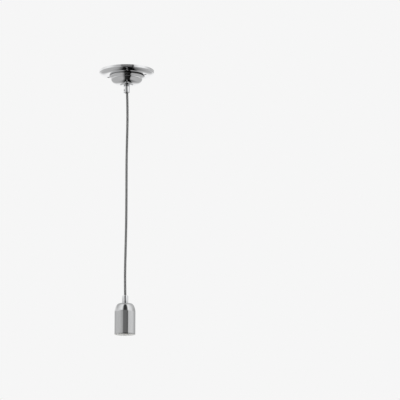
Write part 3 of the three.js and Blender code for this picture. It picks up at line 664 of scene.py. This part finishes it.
def braid_material(periods):
    """Black and white yarns in chevrons, on the sleeve's own UV map, with painted shade in the gaps
    between yarns.
    """
    material, tree, shader, _ = started("black and white braid")
    uv = add(tree, "ShaderNodeTexCoord").outputs["UV"]
    parts = add(tree, "ShaderNodeSeparateXYZ", {"Vector": uv})
    turn = times(tree, parts.outputs["X"], BRAID_COLUMNS)

    def noise(across, along, detail):
        """Noise with so many spots to a column across and to a period along."""
        place = add(tree, "ShaderNodeMapping", {
            "Vector": uv, "Scale": (BRAID_COLUMNS * across, periods * along, 1.0),
        })
        return add(tree, "ShaderNodeTexNoise", {
            "Vector": place.outputs[0], "Scale": 1.0, "Detail": detail,
        }).outputs["Fac"]

    fray, fibre = noise(3.0, 3.0, 3.0), noise(6.0, 20.0, 2.0)
    slant = maths(tree, "PINGPONG", turn, 1.0)
    rise = plus(tree, times(tree, parts.outputs["Y"], periods), times(tree, slant, BRAID_SLANT))
    frayed = plus(tree, rise, times(tree, fray, 0.1))
    black = maths(tree, "LESS_THAN", maths(tree, "FRACT", frayed), BLACK_SHARE)
    column = maths(tree, "SINE", times(tree, maths(tree, "FRACT", turn), math.pi))
    yarn = maths(tree, "ABSOLUTE", maths(tree, "SINE", times(tree, rise, 4 * math.pi)))
    height = plus(tree, times(tree, column, 0.55), times(tree, yarn, 0.45))
    white = blend_colours(tree, fibre, grey(0.4), grey(0.62))
    dark = blend_colours(tree, fibre, grey(0.012), grey(0.05))
    cloth = blend_colours(tree, black, white, dark)
    # Where the relief is low, between yarns and columns, the colour goes towards near-black: painted shade
    # in the gaps
    feed(tree, shader, {
        "Base Color": blend_colours(tree, spread(tree, height, 0.1, 0.7, 0.65, 0), cloth, grey(0.01)),
        "Roughness": spread(tree, black, 0, 1, 0.85, 0.5),
        "Sheen Weight": 0.15, "Sheen Roughness": 0.5,
    })
    relief = plus(tree, height, times(tree, fibre, 0.25))
    bumped(tree, shader, relief, 0.7, 0.15)
    return material


def paint_groove_shade(material):
    """Painted shade in the groove where the rose's collar meets the flange: a near-black band that is
    taller and darker towards +X.
    """
    tree = material.node_tree
    shader = tree.nodes["Principled BSDF"]
    place = add(tree, "ShaderNodeTexCoord").outputs["Object"]
    parts = add(tree, "ShaderNodeSeparateXYZ", {"Vector": place})
    across = parts.outputs["X"]
    height = maths(tree, "ABSOLUTE", plus(tree, parts.outputs["Z"], GROOVE_DROP * MM))
    taller = spread(tree, across, 0, COLLAR_RADIUS * 0.2 * MM, 1, 1.5)
    full, faded = (reach * MM for reach in GROOVE_SHADE_REACH)
    band = spread(tree, maths(tree, "DIVIDE", height, taller), full, faded, 1, 0)
    within = maths(tree, "LESS_THAN", from_axis(tree, parts), (FLANGE_INNER_RADIUS - 0.6) * MM)
    darker = spread(tree, across, -COLLAR_RADIUS * 0.6 * MM, COLLAR_RADIUS * 0.4 * MM, 0.55, 0.96)
    share = times(tree, times(tree, band, within), darker)
    unshaded_colour = shader.inputs["Base Color"].links[0].from_socket
    # Blends the chrome's colour towards near-black inside the band: painted shade
    tree.links.new(blend_colours(tree, share, unshaded_colour, grey(0.02)), shader.inputs["Base Color"])
    return material


CHROME_TONES = ((0.88, 0.885, 0.895), (0.8, 0.805, 0.815))
# The rose's chrome carries the painted shade band in its collar groove
ROSE_CHROME = paint_groove_shade(chrome("rose chrome", *CHROME_TONES, 0.025, 0.07, 0.15, 9.0))
GRIP_CHROME = chrome("grip chrome", *CHROME_TONES, 0.03, 0.08, 0.15, 9.0)
CUP_CHROME = chrome(
    "cup chrome", (0.68, 0.685, 0.69), (0.56, 0.565, 0.57), 0.05, 0.11, 0.75, 16.0)
ZINC = turned_metal("zinc plate", (0.62, 0.64, 0.66), (0.5, 0.52, 0.55), 0.22, 0.38)
STEEL = turned_metal("plain steel", (0.42, 0.42, 0.43), (0.33, 0.33, 0.34), 0.28, 0.45)
BRASS = turned_metal("turned brass", (0.72, 0.5, 0.2), (0.55, 0.38, 0.16), 0.2, 0.36)
NICKEL = turned_metal("nickel plate", (0.66, 0.63, 0.57), (0.56, 0.53, 0.47), 0.16, 0.3)
WHITE_RESIN = moulded("white resin", (0.88, 0.875, 0.85), (0.82, 0.815, 0.79), 0.3, 0.45)
PORCELAIN = moulded("white glaze", (0.83, 0.82, 0.78), (0.78, 0.765, 0.72), 0.12, 0.2, 300.0, 0.12, 0.4)
POLYAMIDE = moulded("white polyamide", (0.76, 0.76, 0.72), (0.7, 0.7, 0.65), 0.42, 0.55)
BROWN_PVC = moulded("brown insulation", (0.13, 0.055, 0.03), (0.17, 0.075, 0.04), 0.4, 0.52)
BLUE_PVC = moulded("blue insulation", (0.02, 0.12, 0.36), (0.03, 0.15, 0.42), 0.4, 0.52)
GREEN_PVC = striped_core("green and yellow insulation")

# The rose's near-black inside, also on the lips and walls of its fixing holes, is painted shade: the dark
# that a ceiling would keep inside the rose
ROSE_SHADED_INSIDE = moulded("near-black lining, painted shade", (0.05, 0.05, 0.05), (0.07, 0.07, 0.072), 0.55, 0.7)
CUP_INSIDE = moulded("white lacquer", (0.93, 0.93, 0.92), (0.88, 0.88, 0.87), 0.35, 0.5)


# Camera and flex

def camera():
    data = bpy.data.cameras.new("camera")
    data.lens = CAMERA_LENS
    data.sensor_width = 36
    data.clip_end = 100
    obj = bpy.data.objects.new("camera", data)
    obj.location = CAMERA_PLACE
    obj.rotation_euler = (math.pi / 2 + CAMERA_PITCH, 0, 0)
    bpy.context.scene.collection.objects.link(obj)
    bpy.context.scene.camera = obj


def braided_flex():
    path, length = smooth_path(CORD_ROUTE, BRAID_PERIOD / RINGS_PER_PERIOD)
    periods = length / BRAID_PERIOD
    per_column = 3
    around = BRAID_COLUMNS * per_column

    def size(i, j):
        """Full size where a column's middle and a yarn's middle meet."""
        across = math.sin(math.pi * ((j % per_column) + 0.5) / per_column)
        slant = abs(((j / per_column) + 1) % 2 - 1)
        along = abs(math.sin(math.tau * (i / RINGS_PER_PERIOD + BRAID_SLANT * slant)))
        return CORD_RADIUS - BRAID_RELIEF * (1 - 0.6 * across - 0.4 * along)

    flex = mesh_object("braided_flex", sleeve(path, around, size))
    finish(flex, braid_material(periods), "braid", "cord", smooth=180)


camera()
braided_flex()


# Ceiling rose

def rose_outline():
    """From the rim's edge to the nipple's hole; tenths of a millimetre ease one stretch into the next."""
    rim, flange, collar = -RIM_HEIGHT - RIM_ROUND, -FLANGE_DROP, -COLLAR_DROP
    dome_top, dome_end, boss = -DOME_TOP_DROP, -DOME_DROP, -ROSE_DROP
    outer, inner = FLANGE_OUTER_RADIUS, FLANGE_INNER_RADIUS
    boss_face = BOSS_RADIUS - BOSS_HEIGHT
    return [
        # Rim, slope and flange
        (ROSE_RADIUS, 0),
        *bow((ROSE_RADIUS, -RIM_HEIGHT), (ROSE_RADIUS, rim), (ROSE_RADIUS - RIM_ROUND, rim), 10),
        *bow(
            (ROSE_RADIUS - RIM_ROUND - 0.2, rim - 0.12), (outer + FLANGE_SHOULDER, flange),
            (outer, flange), 14),
        (outer - 0.3, flange), (inner + 0.3, flange),
        # Groove and collar
        *bow((inner + 0.25, flange), (inner - 0.1, flange), (inner - 0.4, flange + 0.3), 4),
        *bow(
            (COLLAR_RADIUS + 0.4, collar - 0.2), (COLLAR_RADIUS, collar),
            (COLLAR_RADIUS, collar - 0.4), 4),
        *bow(
            (COLLAR_RADIUS, collar - 0.9), (COLLAR_RADIUS, dome_top), (DOME_RADIUS + 0.2, dome_top), 12),
        # Dome and boss
        *bulge((DOME_RADIUS, dome_top), (BOSS_RADIUS, dome_end), DOME_FULLNESS, 40),
        *bow((BOSS_RADIUS - 0.2, dome_end - 0.2), (boss_face, boss), (boss_face - 0.7, boss), 5),
        (boss_face - 0.9, boss), (NIPPLE_HOLE_RADIUS, boss),
    ]


def rose():
    """The pressing, with the edge of each fixing hole turned up on its hidden side."""
    body = mesh_object("rose_pressing", spun(rose_outline(), 160, closed=False))
    add_lined_wall(body, ROSE_WALL, ROSE_CHROME, ROSE_SHADED_INSIDE)
    apply_modifiers(body)
    # The lips and the holes' walls take the rose's near-black inside finish, painted shade that makes the
    # holes read dark
    lip = ("UNION", FIXING_HOLE_RADIUS + FIXING_HOLE_LIP, 2.0, -FLANGE_DROP + 1.6)
    hole = ("DIFFERENCE", FIXING_HOLE_RADIUS, 9.0, -FLANGE_DROP)
    for operation, radius, length, level in (lip, hole):
        for side in (0, 180):
            turn = math.radians(FIXING_HOLE_TURN + side)
            boolean(body, operation, moved(
                rod(radius, length, 40), FIXING_HOLE_CIRCLE_RADIUS * math.cos(turn),
                FIXING_HOLE_CIRCLE_RADIUS * math.sin(turn), level,
            ), material=1)
    finish(body, ROSE_CHROME, "polished_chrome", "ceiling_rose")


# Cord grips

def grip(position, seat, flip, turn):
    """A turned grip: its seat is at zero and its mouth points down, unless flipped."""
    mouth = -GRIP_LENGTH
    body = mesh_object(f"{position}_grip", spun(rounded(
        (NIPPLE_HOLE_RADIUS, 0), (GRIP_RADIUS, 0, 0.3), (GRIP_RADIUS, mouth, 1.8),
        (GRIP_BORE_RADIUS, mouth, 0.35), (GRIP_BORE_RADIUS, -GRIP_COUNTERBORE),
        (NIPPLE_HOLE_RADIUS, -GRIP_COUNTERBORE),
    ), 96))
    level = mouth + GRIP_SCREW_FROM_MOUTH
    hole = moved(turned(rod(GRIP_SCREW_HOLE_RADIUS, GRIP_RADIUS), "Y", 90), -GRIP_RADIUS, 0, level)
    boolean(body, "DIFFERENCE", hole)
    screw = grub_screw(f"{position}_grub_screw", level)
    for obj in (body, screw):
        if flip:
            reshape(obj, lambda bm: turned(bm, "X", 180))
        reshape(obj, lambda bm: turned(bm, "Z", turn), lambda bm: moved(bm, 0, 0, seat))
    finish(body, GRIP_CHROME, "polished_chrome", f"{position}_cord_grip")
    finish(screw, STEEL, "steel", f"{position}_grip_screw")


def grub_screw(name, level):
    """Headless slotted screw in the grip's side; its tip stops just short of the flex it pushes aside."""
    tip = CORD_RADIUS + GRIP_SCREW_GAP - CORD_PUSH
    face = GRIP_RADIUS - GRIP_SCREW_SINK
    slot_half_width, slot_depth = 0.3, 0.9
    obj = mesh_object(name, soften(rod(GRIP_SCREW_RADIUS, face - tip), 0.2))
    boolean(obj, "DIFFERENCE", block(
        (-2, -slot_half_width, (face - tip) / 2 - slot_depth), (2, slot_half_width, face)))
    reshape(obj, lambda bm: moved(turned(bm, "Y", -90), -(tip + face) / 2, 0, level))
    return obj


def spun_thread(profile, pitch, segments, bottom, top):
    """A profile of (radius, height) points, spun with one pitch of rise per turn and cut off level."""
    bm = bmesh.new()
    verts = [bm.verts.new((radius * MM, 0, height * MM)) for radius, height in profile]
    edges = [bm.edges.new(pair) for pair in zip(verts, verts[1:])]
    bmesh.ops.spin(
        bm, geom=verts + edges, cent=(0, 0, 0), axis=(0, 0, 1), dvec=(0, 0, pitch * MM / segments),
        angle=math.tau, steps=segments, use_merge=False,
    )
    bmesh.ops.remove_doubles(bm, verts=bm.verts, dist=1e-6)
    for height, normal in ((bottom, (0, 0, -1)), (top, (0, 0, 1))):
        bmesh.ops.bisect_plane(
            bm, geom=bm.verts[:] + bm.edges[:] + bm.faces[:], dist=1e-7,
            plane_co=(0, 0, height * MM), plane_no=normal, clear_outer=True,
        )
    return bm


def threaded_tube(name, ends, node):
    """A threaded nipple: a zigzag with flat crests and roots, with the nipple's bore through it."""
    bottom, top = ends
    crest, root = THREAD_RADIUS, THREAD_ROOT_RADIUS
    profile = []
    for i in range(math.ceil((top - bottom) / THREAD_PITCH) + 3):
        level = bottom - 1.5 * THREAD_PITCH + i * THREAD_PITCH
        for share, radius in ((0, root), (0.12, root), (0.45, crest), (0.57, crest)):
            profile.append((radius, level + share * THREAD_PITCH))
    bm = spun_thread(profile, THREAD_PITCH, 48, bottom, top)
    bmesh.ops.holes_fill(bm, edges=[e for e in bm.edges if e.is_boundary], sides=0)
    bmesh.ops.recalc_face_normals(bm, faces=bm.faces)
    body = mesh_object(name, bm)
    bore = rod(NIPPLE_BORE_RADIUS, top - bottom + 2, 48)
    boolean(body, "DIFFERENCE", moved(bore, 0, 0, (top + bottom) / 2))
    finish(body, ZINC, "zinc_steel", node)


def hex_nut(name, bottom, node):
    """A hexagon nut with chamfered corners and a round bore that widens at both mouths."""
    top = bottom + NUT_HEIGHT
    hexagon = turned(rod(NUT_ACROSS_FLATS / math.sqrt(3), NUT_HEIGHT, 6), "Z", 90)
    body = mesh_object(name, moved(hexagon, 0, 0, bottom + NUT_HEIGHT / 2))
    boolean(body, "INTERSECT", spun([
        (0, bottom), (NUT_FACE_RADIUS, bottom), (NUT_CORNER_RADIUS, bottom + NUT_CORNER_CHAMFER),
        (NUT_CORNER_RADIUS, top - NUT_CORNER_CHAMFER), (NUT_FACE_RADIUS, top), (0, top),
    ], 72))
    boolean(body, "DIFFERENCE", spun([
        (0, bottom - 1), (NUT_MOUTH_RADIUS, bottom - 1), (NUT_MOUTH_RADIUS, bottom),
        (NUT_BORE_RADIUS, bottom + NUT_MOUTH_DEPTH), (NUT_BORE_RADIUS, top - NUT_MOUTH_DEPTH),
        (NUT_MOUTH_RADIUS, top), (NUT_MOUTH_RADIUS, top + 1), (0, top + 1),
    ], 48))
    finish(body, ZINC, "zinc_steel", node)


# Cup and lamp holder

def cup():
    """One drawn sheet: flat top, shoulder and straight side, with its edges broken."""
    path = [
        (NIPPLE_HOLE_RADIUS, 0), (CUP_TOP_RADIUS - 0.4, 0),
        *bow((CUP_TOP_RADIUS, 0), CUP_SHOULDER_PULL, (CUP_RADIUS, -CUP_SHOULDER_HEIGHT), 32),
        (CUP_RADIUS, -CUP_SHOULDER_HEIGHT - 2), (CUP_RADIUS, -CUP_HEIGHT + 2), (CUP_RADIUS, -CUP_HEIGHT),
    ]
    points = [(radius, height + CUP_TOP) for radius, height in path]
    body = mesh_object("cup_cover", spun(points, 160, closed=False))
    add_lined_wall(body, CUP_WALL, CUP_CHROME, CUP_INSIDE)
    edge = body.modifiers.new("edge", "BEVEL")
    edge.width = 0.25 * MM
    edge.segments = 2
    edge.limit_method = "ANGLE"
    edge.angle_limit = math.radians(50)
    apply_modifiers(body)
    finish(body, CUP_CHROME, "cup_chrome", "lamp_cup")


def holder_cap():
    """Domed cap round the bush, with the spigot that the skirt goes over."""
    dome_radius, dome_height = CAP_DOME_RADII
    rim, spigot_end, roof = CAP_TOP - CAP_LENGTH, CAP_TOP - SPIGOT_LENGTH, CAP_TOP - CAP_ROOF
    body = mesh_object("holder_cap_moulding", spun([
        (CAP_HOLE_RADIUS, CAP_TOP), (CAP_FLAT_RADIUS, CAP_TOP),
        *arc((HOLDER_RADIUS - dome_radius, CAP_TOP - dome_height), CAP_DOME_RADII, 90, 0, 18),
        (HOLDER_RADIUS, rim + CAP_CORNER), (HOLDER_RADIUS - CAP_CORNER, rim), (SPIGOT_RADIUS, rim),
        (SPIGOT_RADIUS, spigot_end + CAP_CORNER), (SPIGOT_RADIUS - CAP_CORNER, spigot_end),
        (SPIGOT_BORE_RADIUS, spigot_end), (SPIGOT_BORE_RADIUS, roof - 0.5),
        (SPIGOT_BORE_RADIUS - 0.5, roof), (CAP_HOLE_RADIUS, roof),
    ], 96))
    finish(body, WHITE_RESIN, "white_resin", "holder_cap")


def holder_skirt():
    """Sleeve over the spigot: its inner step clamps the porcelain core, and a lip narrows its mouth."""
    lip = SKIRT_BOTTOM + SKIRT_LIP_HEIGHT
    body = mesh_object("holder_skirt_moulding", spun(rounded(
        (SKIRT_UPPER_BORE_RADIUS, SKIRT_TOP, 0.2), (HOLDER_RADIUS, SKIRT_TOP, 0.3),
        (HOLDER_RADIUS, SKIRT_BOTTOM, 0.8), (SKIRT_LIP_RADIUS, SKIRT_BOTTOM, 0.5),
        (SKIRT_LIP_RADIUS, lip, 0.5), (SKIRT_LOWER_BORE_RADIUS, lip, 0.3),
        (SKIRT_LOWER_BORE_RADIUS, SKIRT_STEP, 0.2), (SKIRT_UPPER_BORE_RADIUS, SKIRT_STEP, 0.2),
    ), 128))
    finish(body, WHITE_RESIN, "white_resin", "holder_skirt")


def screw_shell():
    """Rolled thread for the lamp cap: a round wave, with a neck drawn in above it."""
    steps = 12
    middle = (SHELL_CREST_RADIUS + SHELL_ROOT_RADIUS) / 2
    swing = (SHELL_CREST_RADIUS - SHELL_ROOT_RADIUS) / 2
    profile = [
        (middle + swing * math.sin(math.tau * i / steps),
         SHELL_BOTTOM - 1.5 * SHELL_PITCH + i * SHELL_PITCH / steps)
        for i in range(round((SHELL_TOP - SHELL_BOTTOM) / SHELL_PITCH + 3) * steps)
    ]
    bm = spun_thread(profile, SHELL_PITCH, 72, SHELL_BOTTOM, SHELL_TOP)
    upper = [e for e in bm.edges if e.is_boundary and e.verts[0].co.z > (SHELL_TOP - 0.5) * MM]
    for radius, height in SHELL_NECK:
        made = bmesh.ops.extrude_edge_only(bm, edges=upper)["geom"]
        for vert in (g for g in made if isinstance(g, bmesh.types.BMVert)):
            share = radius * MM / Vector((vert.co.x, vert.co.y)).length
            vert.co = (vert.co.x * share, vert.co.y * share, height * MM)
        upper = [g for g in made if isinstance(g, bmesh.types.BMEdge)]
    bmesh.ops.recalc_face_normals(bm, faces=bm.faces)
    body = mesh_object("rolled_screw_shell", bm)
    add_wall(body, SHELL_WALL)
    apply_modifiers(body)
    finish(body, NICKEL, "nickel_shell", "screw_shell")


# Terminal block, clamp screws and the flex's cores

def slotted_head(name, radius, length, head_radius, head_height, place, material, slot, node):
    """A cheese-head screw with a slot; place puts the mesh where it belongs."""
    body = mesh_object(name, spun([
        (0, -length), (radius - 0.2, -length), (radius, -length + 0.2), (radius, 0),
        *rounded((head_radius, 0, 0.15), (head_radius, head_height, 0.4)), (0, head_height),
    ], 40))
    width = head_height * 0.4
    boolean(body, "DIFFERENCE", block(
        (-head_radius - 1, -width / 2, head_height * 0.5), (head_radius + 1, width / 2, head_height + 1)))
    reshape(body, place)
    finish(body, material, slot, node)


def terminal_block():
    """The moulding with a groove between its poles, and its four clamp screws."""
    body = mesh_object("terminal_block_moulding", soften(block(BLOCK_LOW, BLOCK_HIGH), 0.5))
    middle = (BLOCK_LOW[1] + BLOCK_HIGH[1]) / 2
    tools = []
    for x in (-BLOCK_POLE, BLOCK_POLE):
        tube_hole = turned(rod(BLOCK_TUBE_HOLE_RADIUS, 18), "X", 90)
        tools.append(moved(tube_hole, x, middle, BLOCK_TUBE_LEVEL))
        for y in BLOCK_SCREW_ROWS:
            screw_hole = rod(BLOCK_SCREW_HOLE_RADIUS, BLOCK_SCREW_HOLE_DEPTH)
            tools.append(moved(screw_hole, x, y, BLOCK_TUBE_LEVEL + BLOCK_SCREW_HOLE_DEPTH / 2))
    tools.append(block((-0.5, 9, -15), (0.5, 26, -13)))
    boolean(body, "DIFFERENCE", *tools)
    finish(body, POLYAMIDE, "white_polyamide", "terminal_block")
    places = [(x, y) for x in (BLOCK_POLE, -BLOCK_POLE) for y in BLOCK_SCREW_ROWS]
    for number, (x, y) in enumerate(places, 1):
        slotted_head(
            f"clamp_screw_{number}", 1.4, 4.4, 2, 1.6,
            lambda bm: moved(turned(bm, "Z", 20 * (x + y)), x, y, BLOCK_SCREW_LEVEL),
            ZINC, "zinc_steel", f"block_screw_{number}",
        )


def insulated_core(name, points, material, slot, node):
    path, _ = smooth_path(points, 0.5)
    obj = mesh_object(name, sleeve(path, 20, lambda i, j: CORE_RADIUS))
    finish(obj, material, slot, node)


POLES = (("live", 1, BROWN_PVC, "brown_pvc"), ("neutral", -1, BLUE_PVC, "blue_pvc"))


def rose_cores():
    """Three cores from the flex's upper end to the block's tubes and the earth screw."""
    for name, side, material, slot in POLES:
        start, x = 0.8 + side * 1.25, side * BLOCK_POLE
        run = x - start
        insulated_core(f"rose_{name}_insulation", [
            (start, 1.32, -24.6), (start, 1.42, -22.0), (start + 0.3 * run, 3.32, -19.1),
            (start + 0.75 * run, 5.32, -19.1), (x, 8.1, -20.3), (x, 11.5, -20.5), (x, 15.6, -20.5),
        ], material, slot, f"rose_{name}_core")
    insulated_core("rose_earth_insulation", [
        (0.8, -0.84, -24.6), (0.8, -1.04, -21.6), (2.0, -3.5, -18.3), (3.2, -6.57, -16.7),
        (3.2, -9.5, -17.5), (3.2, -10.6, -20.4), (3.2, -10.6, -25.0),
    ], GREEN_PVC, "green_yellow_pvc", "rose_earth_core")


def holder_cores():
    """The same three cores below the flex's end, measured from the cup's top."""
    for name, side, material, slot in POLES:
        route = [
            (1.25, -1.72, -13.6), (1.55, -1.72, -15.2), (4.51, -1.21, -17.1), (7.6, -0.34, -16.7),
            (9.0, 0.0, -19.6), (9.0, 0.0, -24.6),
        ]
        insulated_core(
            f"holder_{name}_insulation", [(side * x, y, CUP_TOP + z) for x, y, z in route],
            material, slot, f"holder_{name}_core")
    route = [
        (0.0, 0.44, -13.6), (0.1, 0.74, -15.0), (1.12, 2.44, -15.5), (2.4, 4.95, -14.8),
        (3.2, 7.7, -13.6), (3.2, 9.35, -13.4), (3.2, 12.8, -13.4),
    ]
    insulated_core(
        "holder_earth_insulation", [(x, y, CUP_TOP + z) for x, y, z in route],
        GREEN_PVC, "green_yellow_pvc", "holder_earth_core")


rose()
grip("upper", UPPER_SEAT, False, UPPER_GRIP_TURN)
grip("lower", LOWER_SEAT, True, LOWER_GRIP_TURN)
threaded_tube("upper_thread", UPPER_NIPPLE_ENDS, "upper_nipple")
threaded_tube("lower_thread", LOWER_NIPPLE_ENDS, "lower_nipple")
hex_nut("rose_nut", ROSE_NUT_BOTTOM, "rose_lock_nut")
hex_nut("cup_nut", CUP_NUT_BOTTOM, "cup_lock_nut")
cup()
holder_cap()
holder_skirt()
screw_shell()
terminal_block()
rose_cores()
holder_cores()
slotted_head(
    "earth_clamp_screw", 1.8, 6.2, 3.2, 1.8,
    lambda bm: moved(turned(turned(bm, "Z", 35), "X", -90), 0, -9.2, -23.2),
    BRASS, "brass", "rose_earth_screw",
)


# The other parts keep their own shape and get their finish here

KEPT = {
    "rose_washer": STEEL, "rose_earth_tag": ZINC, "block_tube_1": BRASS, "block_tube_2": BRASS,
    "cup_washer": STEEL, "holder_bush": ZINC, "holder_earth_screw": BRASS, "holder_core": PORCELAIN,
    "live_terminal": BRASS, "neutral_terminal": BRASS, "live_clamp_screw": ZINC,
    "neutral_clamp_screw": ZINC, "centre_contact": BRASS, "contact_rivet": BRASS, "shell_rivet": BRASS,
}
for name, material in KEPT.items():
    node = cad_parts[name]
    node.data.materials.clear()
    node.data.materials.append(material)


# Studio: a light tent with dark cards. Each list of stops gives a level's brightness all the way round:
# 0 degrees is the camera's side, 90 is to the right of it and 180 straight behind the set

CARD_STOPS = [
    (-180, 1.0), (-100, 1.0), (-70, 0.75), (-25, 0.55), (0, 0.3), (18, 0.1), (45, 0.15), (62, 0.45),
    (85, 0.5), (110, 1.0), (180, 1.0),
]
SIDE_LEVEL = 0.47
FLOOR_LEVEL = -2.4
SET_MIDDLE = Vector((0, 0, -0.3))
GAP_STOPS = [(0.06, 1.0), (0.2, 0.5), (0.28, 0.06), (0.7, 0.01), (0.78, 0.9), (0.84, 1.0)]
GAP_END = math.radians(150)
GAP_MIDDLE = (0.17, -0.02)
GAP_HALF = (0.42, 0.06)
LEVEL_STOPS = [
    (-180, 0.95), (-166, 0.85), (-158, 0.5), (-142, 0.56), (-98, 0.72), (-55, 0.68), (-32, 0.55),
    (-22, 0.48), (-19, 0.21), (0, 0.19), (23, 0.2), (24.5, 0.04), (30, 0.04), (32, 0.25), (36, 0.55),
    (45, 0.82), (90, 0.88), (112, 0.7), (123, 0.52), (146, 0.62), (155, 0.6), (164, 0.9), (180, 0.95),
]
RIM_STOPS = [
    (-180, 1.0), (-165, 0.78), (-143, 0.98), (-115, 0.82), (-83, 0.94), (-65, 0.84), (-51, 0.64),
    (-37, 0.5), (-25, 0.42), (-21, 0.2), (0, 0.19), (24, 0.19), (25.5, 0.06), (29, 0.06), (31.5, 0.3),
    (34, 0.68), (44, 0.83), (55, 1.0), (80, 0.97), (98, 0.68), (118, 0.53), (145, 0.55), (160, 0.53),
    (170, 0.9), (180, 1.0),
]
UPPER_STOPS = [
    (-180, 0.6), (-110, 0.62), (-75, 0.95), (-35, 1.15), (-24, 0.6), (-17, 0.2), (-11, 0.05), (20, 0.05),
    (28, 0.25), (34, 0.95), (44, 1.2), (65, 1.1), (110, 0.7), (180, 0.6),
]


def round_ramp(tree, place, stops):
    """A ramp all the way round; its place runs from 0 at -180 degrees to 1 at 180."""
    return ramp(tree, place, [(degrees / 360 + 0.5, level) for degrees, level in stops])


def lower_level(tree, parts, place):
    """Grey below the horizon, bright behind the set, and dark in a gap that narrows from front to back."""
    across, along, height = (parts.outputs[axis] for axis in "XYZ")
    # The gap: cover is 1 beside it and almost 0 in it, and below is the angle down from the camera's side
    below = maths(tree, "ARCTAN2", times(tree, height, -1.0), times(tree, along, -1.0))
    middle = spread(tree, below, 0, GAP_END, *GAP_MIDDLE)
    half = spread(tree, below, 0, GAP_END, *GAP_HALF)
    aside = maths(tree, "DIVIDE", maths(tree, "SUBTRACT", across, middle), half)
    cover = ramp(tree, spread(tree, aside, -2, 2, 0, 1), GAP_STOPS)
    # A soft shade along the middle, under the set
    off_middle = maths(tree, "ABSOLUTE", maths(tree, "SUBTRACT", across, 0.06))
    shade = spread(tree, off_middle, 0.08, 0.42, 0.12, 1)
    from_front = spread(tree, along, -0.25, 0.1, 0, 1)
    to_back = spread(tree, along, 0.5, 0.8, 1, 0)
    under = maths(tree, "MINIMUM", from_front, to_back)
    # The dark cards, in a thin belt just below the horizon
    belt = spread(tree, maths(tree, "ABSOLUTE", plus(tree, height, 0.06)), 0.03, 0.07, 1, 0)
    cards = round_ramp(tree, place, CARD_STOPS)
    base = times(tree, SIDE_LEVEL, blend_colours(tree, under, grey(1), shade))
    base = times(tree, base, blend_colours(tree, belt, grey(1), cards))
    return blend_colours(tree, spread(tree, along, 0.86, 0.97, 0, 1), times(tree, base, cover), grey(0.98))


def studio_world():
    """What the chrome reflects: five levels, one above the other. The camera itself sees one pale tone."""
    world = bpy.data.worlds.new("light tent")
    bpy.context.scene.world = world
    world.use_nodes = True
    tree = world.node_tree
    direction = add(tree, "ShaderNodeTexCoord").outputs["Generated"]
    parts = add(tree, "ShaderNodeSeparateXYZ", {"Vector": direction})
    angle = maths(tree, "ARCTAN2", parts.outputs["X"], times(tree, parts.outputs["Y"], -1.0))
    place = spread(tree, angle, -math.pi, math.pi, 0, 1)
    level, rim, upper = (
        round_ramp(tree, place, stops) for stops in (LEVEL_STOPS, RIM_STOPS, UPPER_STOPS)
    )
    height = parts.outputs["Z"]
    colour = blend_colours(tree, spread(tree, height, 0.15, 0.22, 0, 1), level, rim)
    colour = blend_colours(tree, spread(tree, height, 0.3, 0.45, 0, 1), colour, upper)
    lower = lower_level(tree, parts, place)
    colour = blend_colours(tree, spread(tree, height, 0.11, -0.02, 0, 1), colour, lower)
    colour = blend_colours(tree, spread(tree, height, 0.88, 0.99, 0, 1), colour, grey(0.5))
    seen = add(tree, "ShaderNodeLightPath").outputs["Is Camera Ray"]
    colour = blend_colours(tree, seen, colour, grey(PALE))
    tree.links.new(colour, tree.nodes["Background"].inputs["Color"])


def soft_box(name, place, size, power):
    """A lamp turned to the set's middle; it lights the pieces but shows in no reflection."""
    data = bpy.data.lights.new(name, "AREA")
    data.shape = "RECTANGLE"
    data.size, data.size_y = size
    data.energy = power
    obj = bpy.data.objects.new(name, data)
    obj.location = place
    obj.rotation_euler = (SET_MIDDLE - Vector(place)).to_track_quat("-Z", "Y").to_euler()
    obj.visible_glossy = False
    bpy.context.scene.collection.objects.link(obj)


def floor():
    """A pale sheet below the set, clear from underneath and out of every reflection."""
    bm = bmesh.new()
    bmesh.ops.create_grid(bm, x_segments=1, y_segments=1, size=20)
    bmesh.ops.translate(bm, verts=bm.verts, vec=(0, 0, FLOOR_LEVEL))
    obj = mesh_object("floor", bm)
    material, tree, shader, place = started("pale floor")
    mottle = add(tree, "ShaderNodeTexNoise", {"Vector": place, "Scale": 3.0, "Detail": 3.0})
    mottled = blend_colours(tree, mottle.outputs["Fac"], grey(0.9), grey(0.93))
    feed(tree, shader, {"Base Color": mottled, "Roughness": 0.9})
    hidden = add(tree, "ShaderNodeBsdfTransparent")
    back = add(tree, "ShaderNodeNewGeometry").outputs["Backfacing"]
    mix = add(tree, "ShaderNodeMixShader", {0: back, 1: shader.outputs[0], 2: hidden.outputs[0]})
    tree.links.new(mix.outputs[0], tree.nodes["Material Output"].inputs["Surface"])
    obj.data.materials.append(material)
    obj.visible_glossy = False


studio_world()
soft_box("left soft box", (-2.4, -2.2, 1.3), (2.0, 2.0), 22)
soft_box("right soft box", (2.6, -1.6, 0.9), (1.6, 2.2), 14)
soft_box("low soft box", (0.0, 0.7, -2.2), (1.8, 1.8), 12)
floor()

bpy.context.scene.view_settings.view_transform = "Standard"
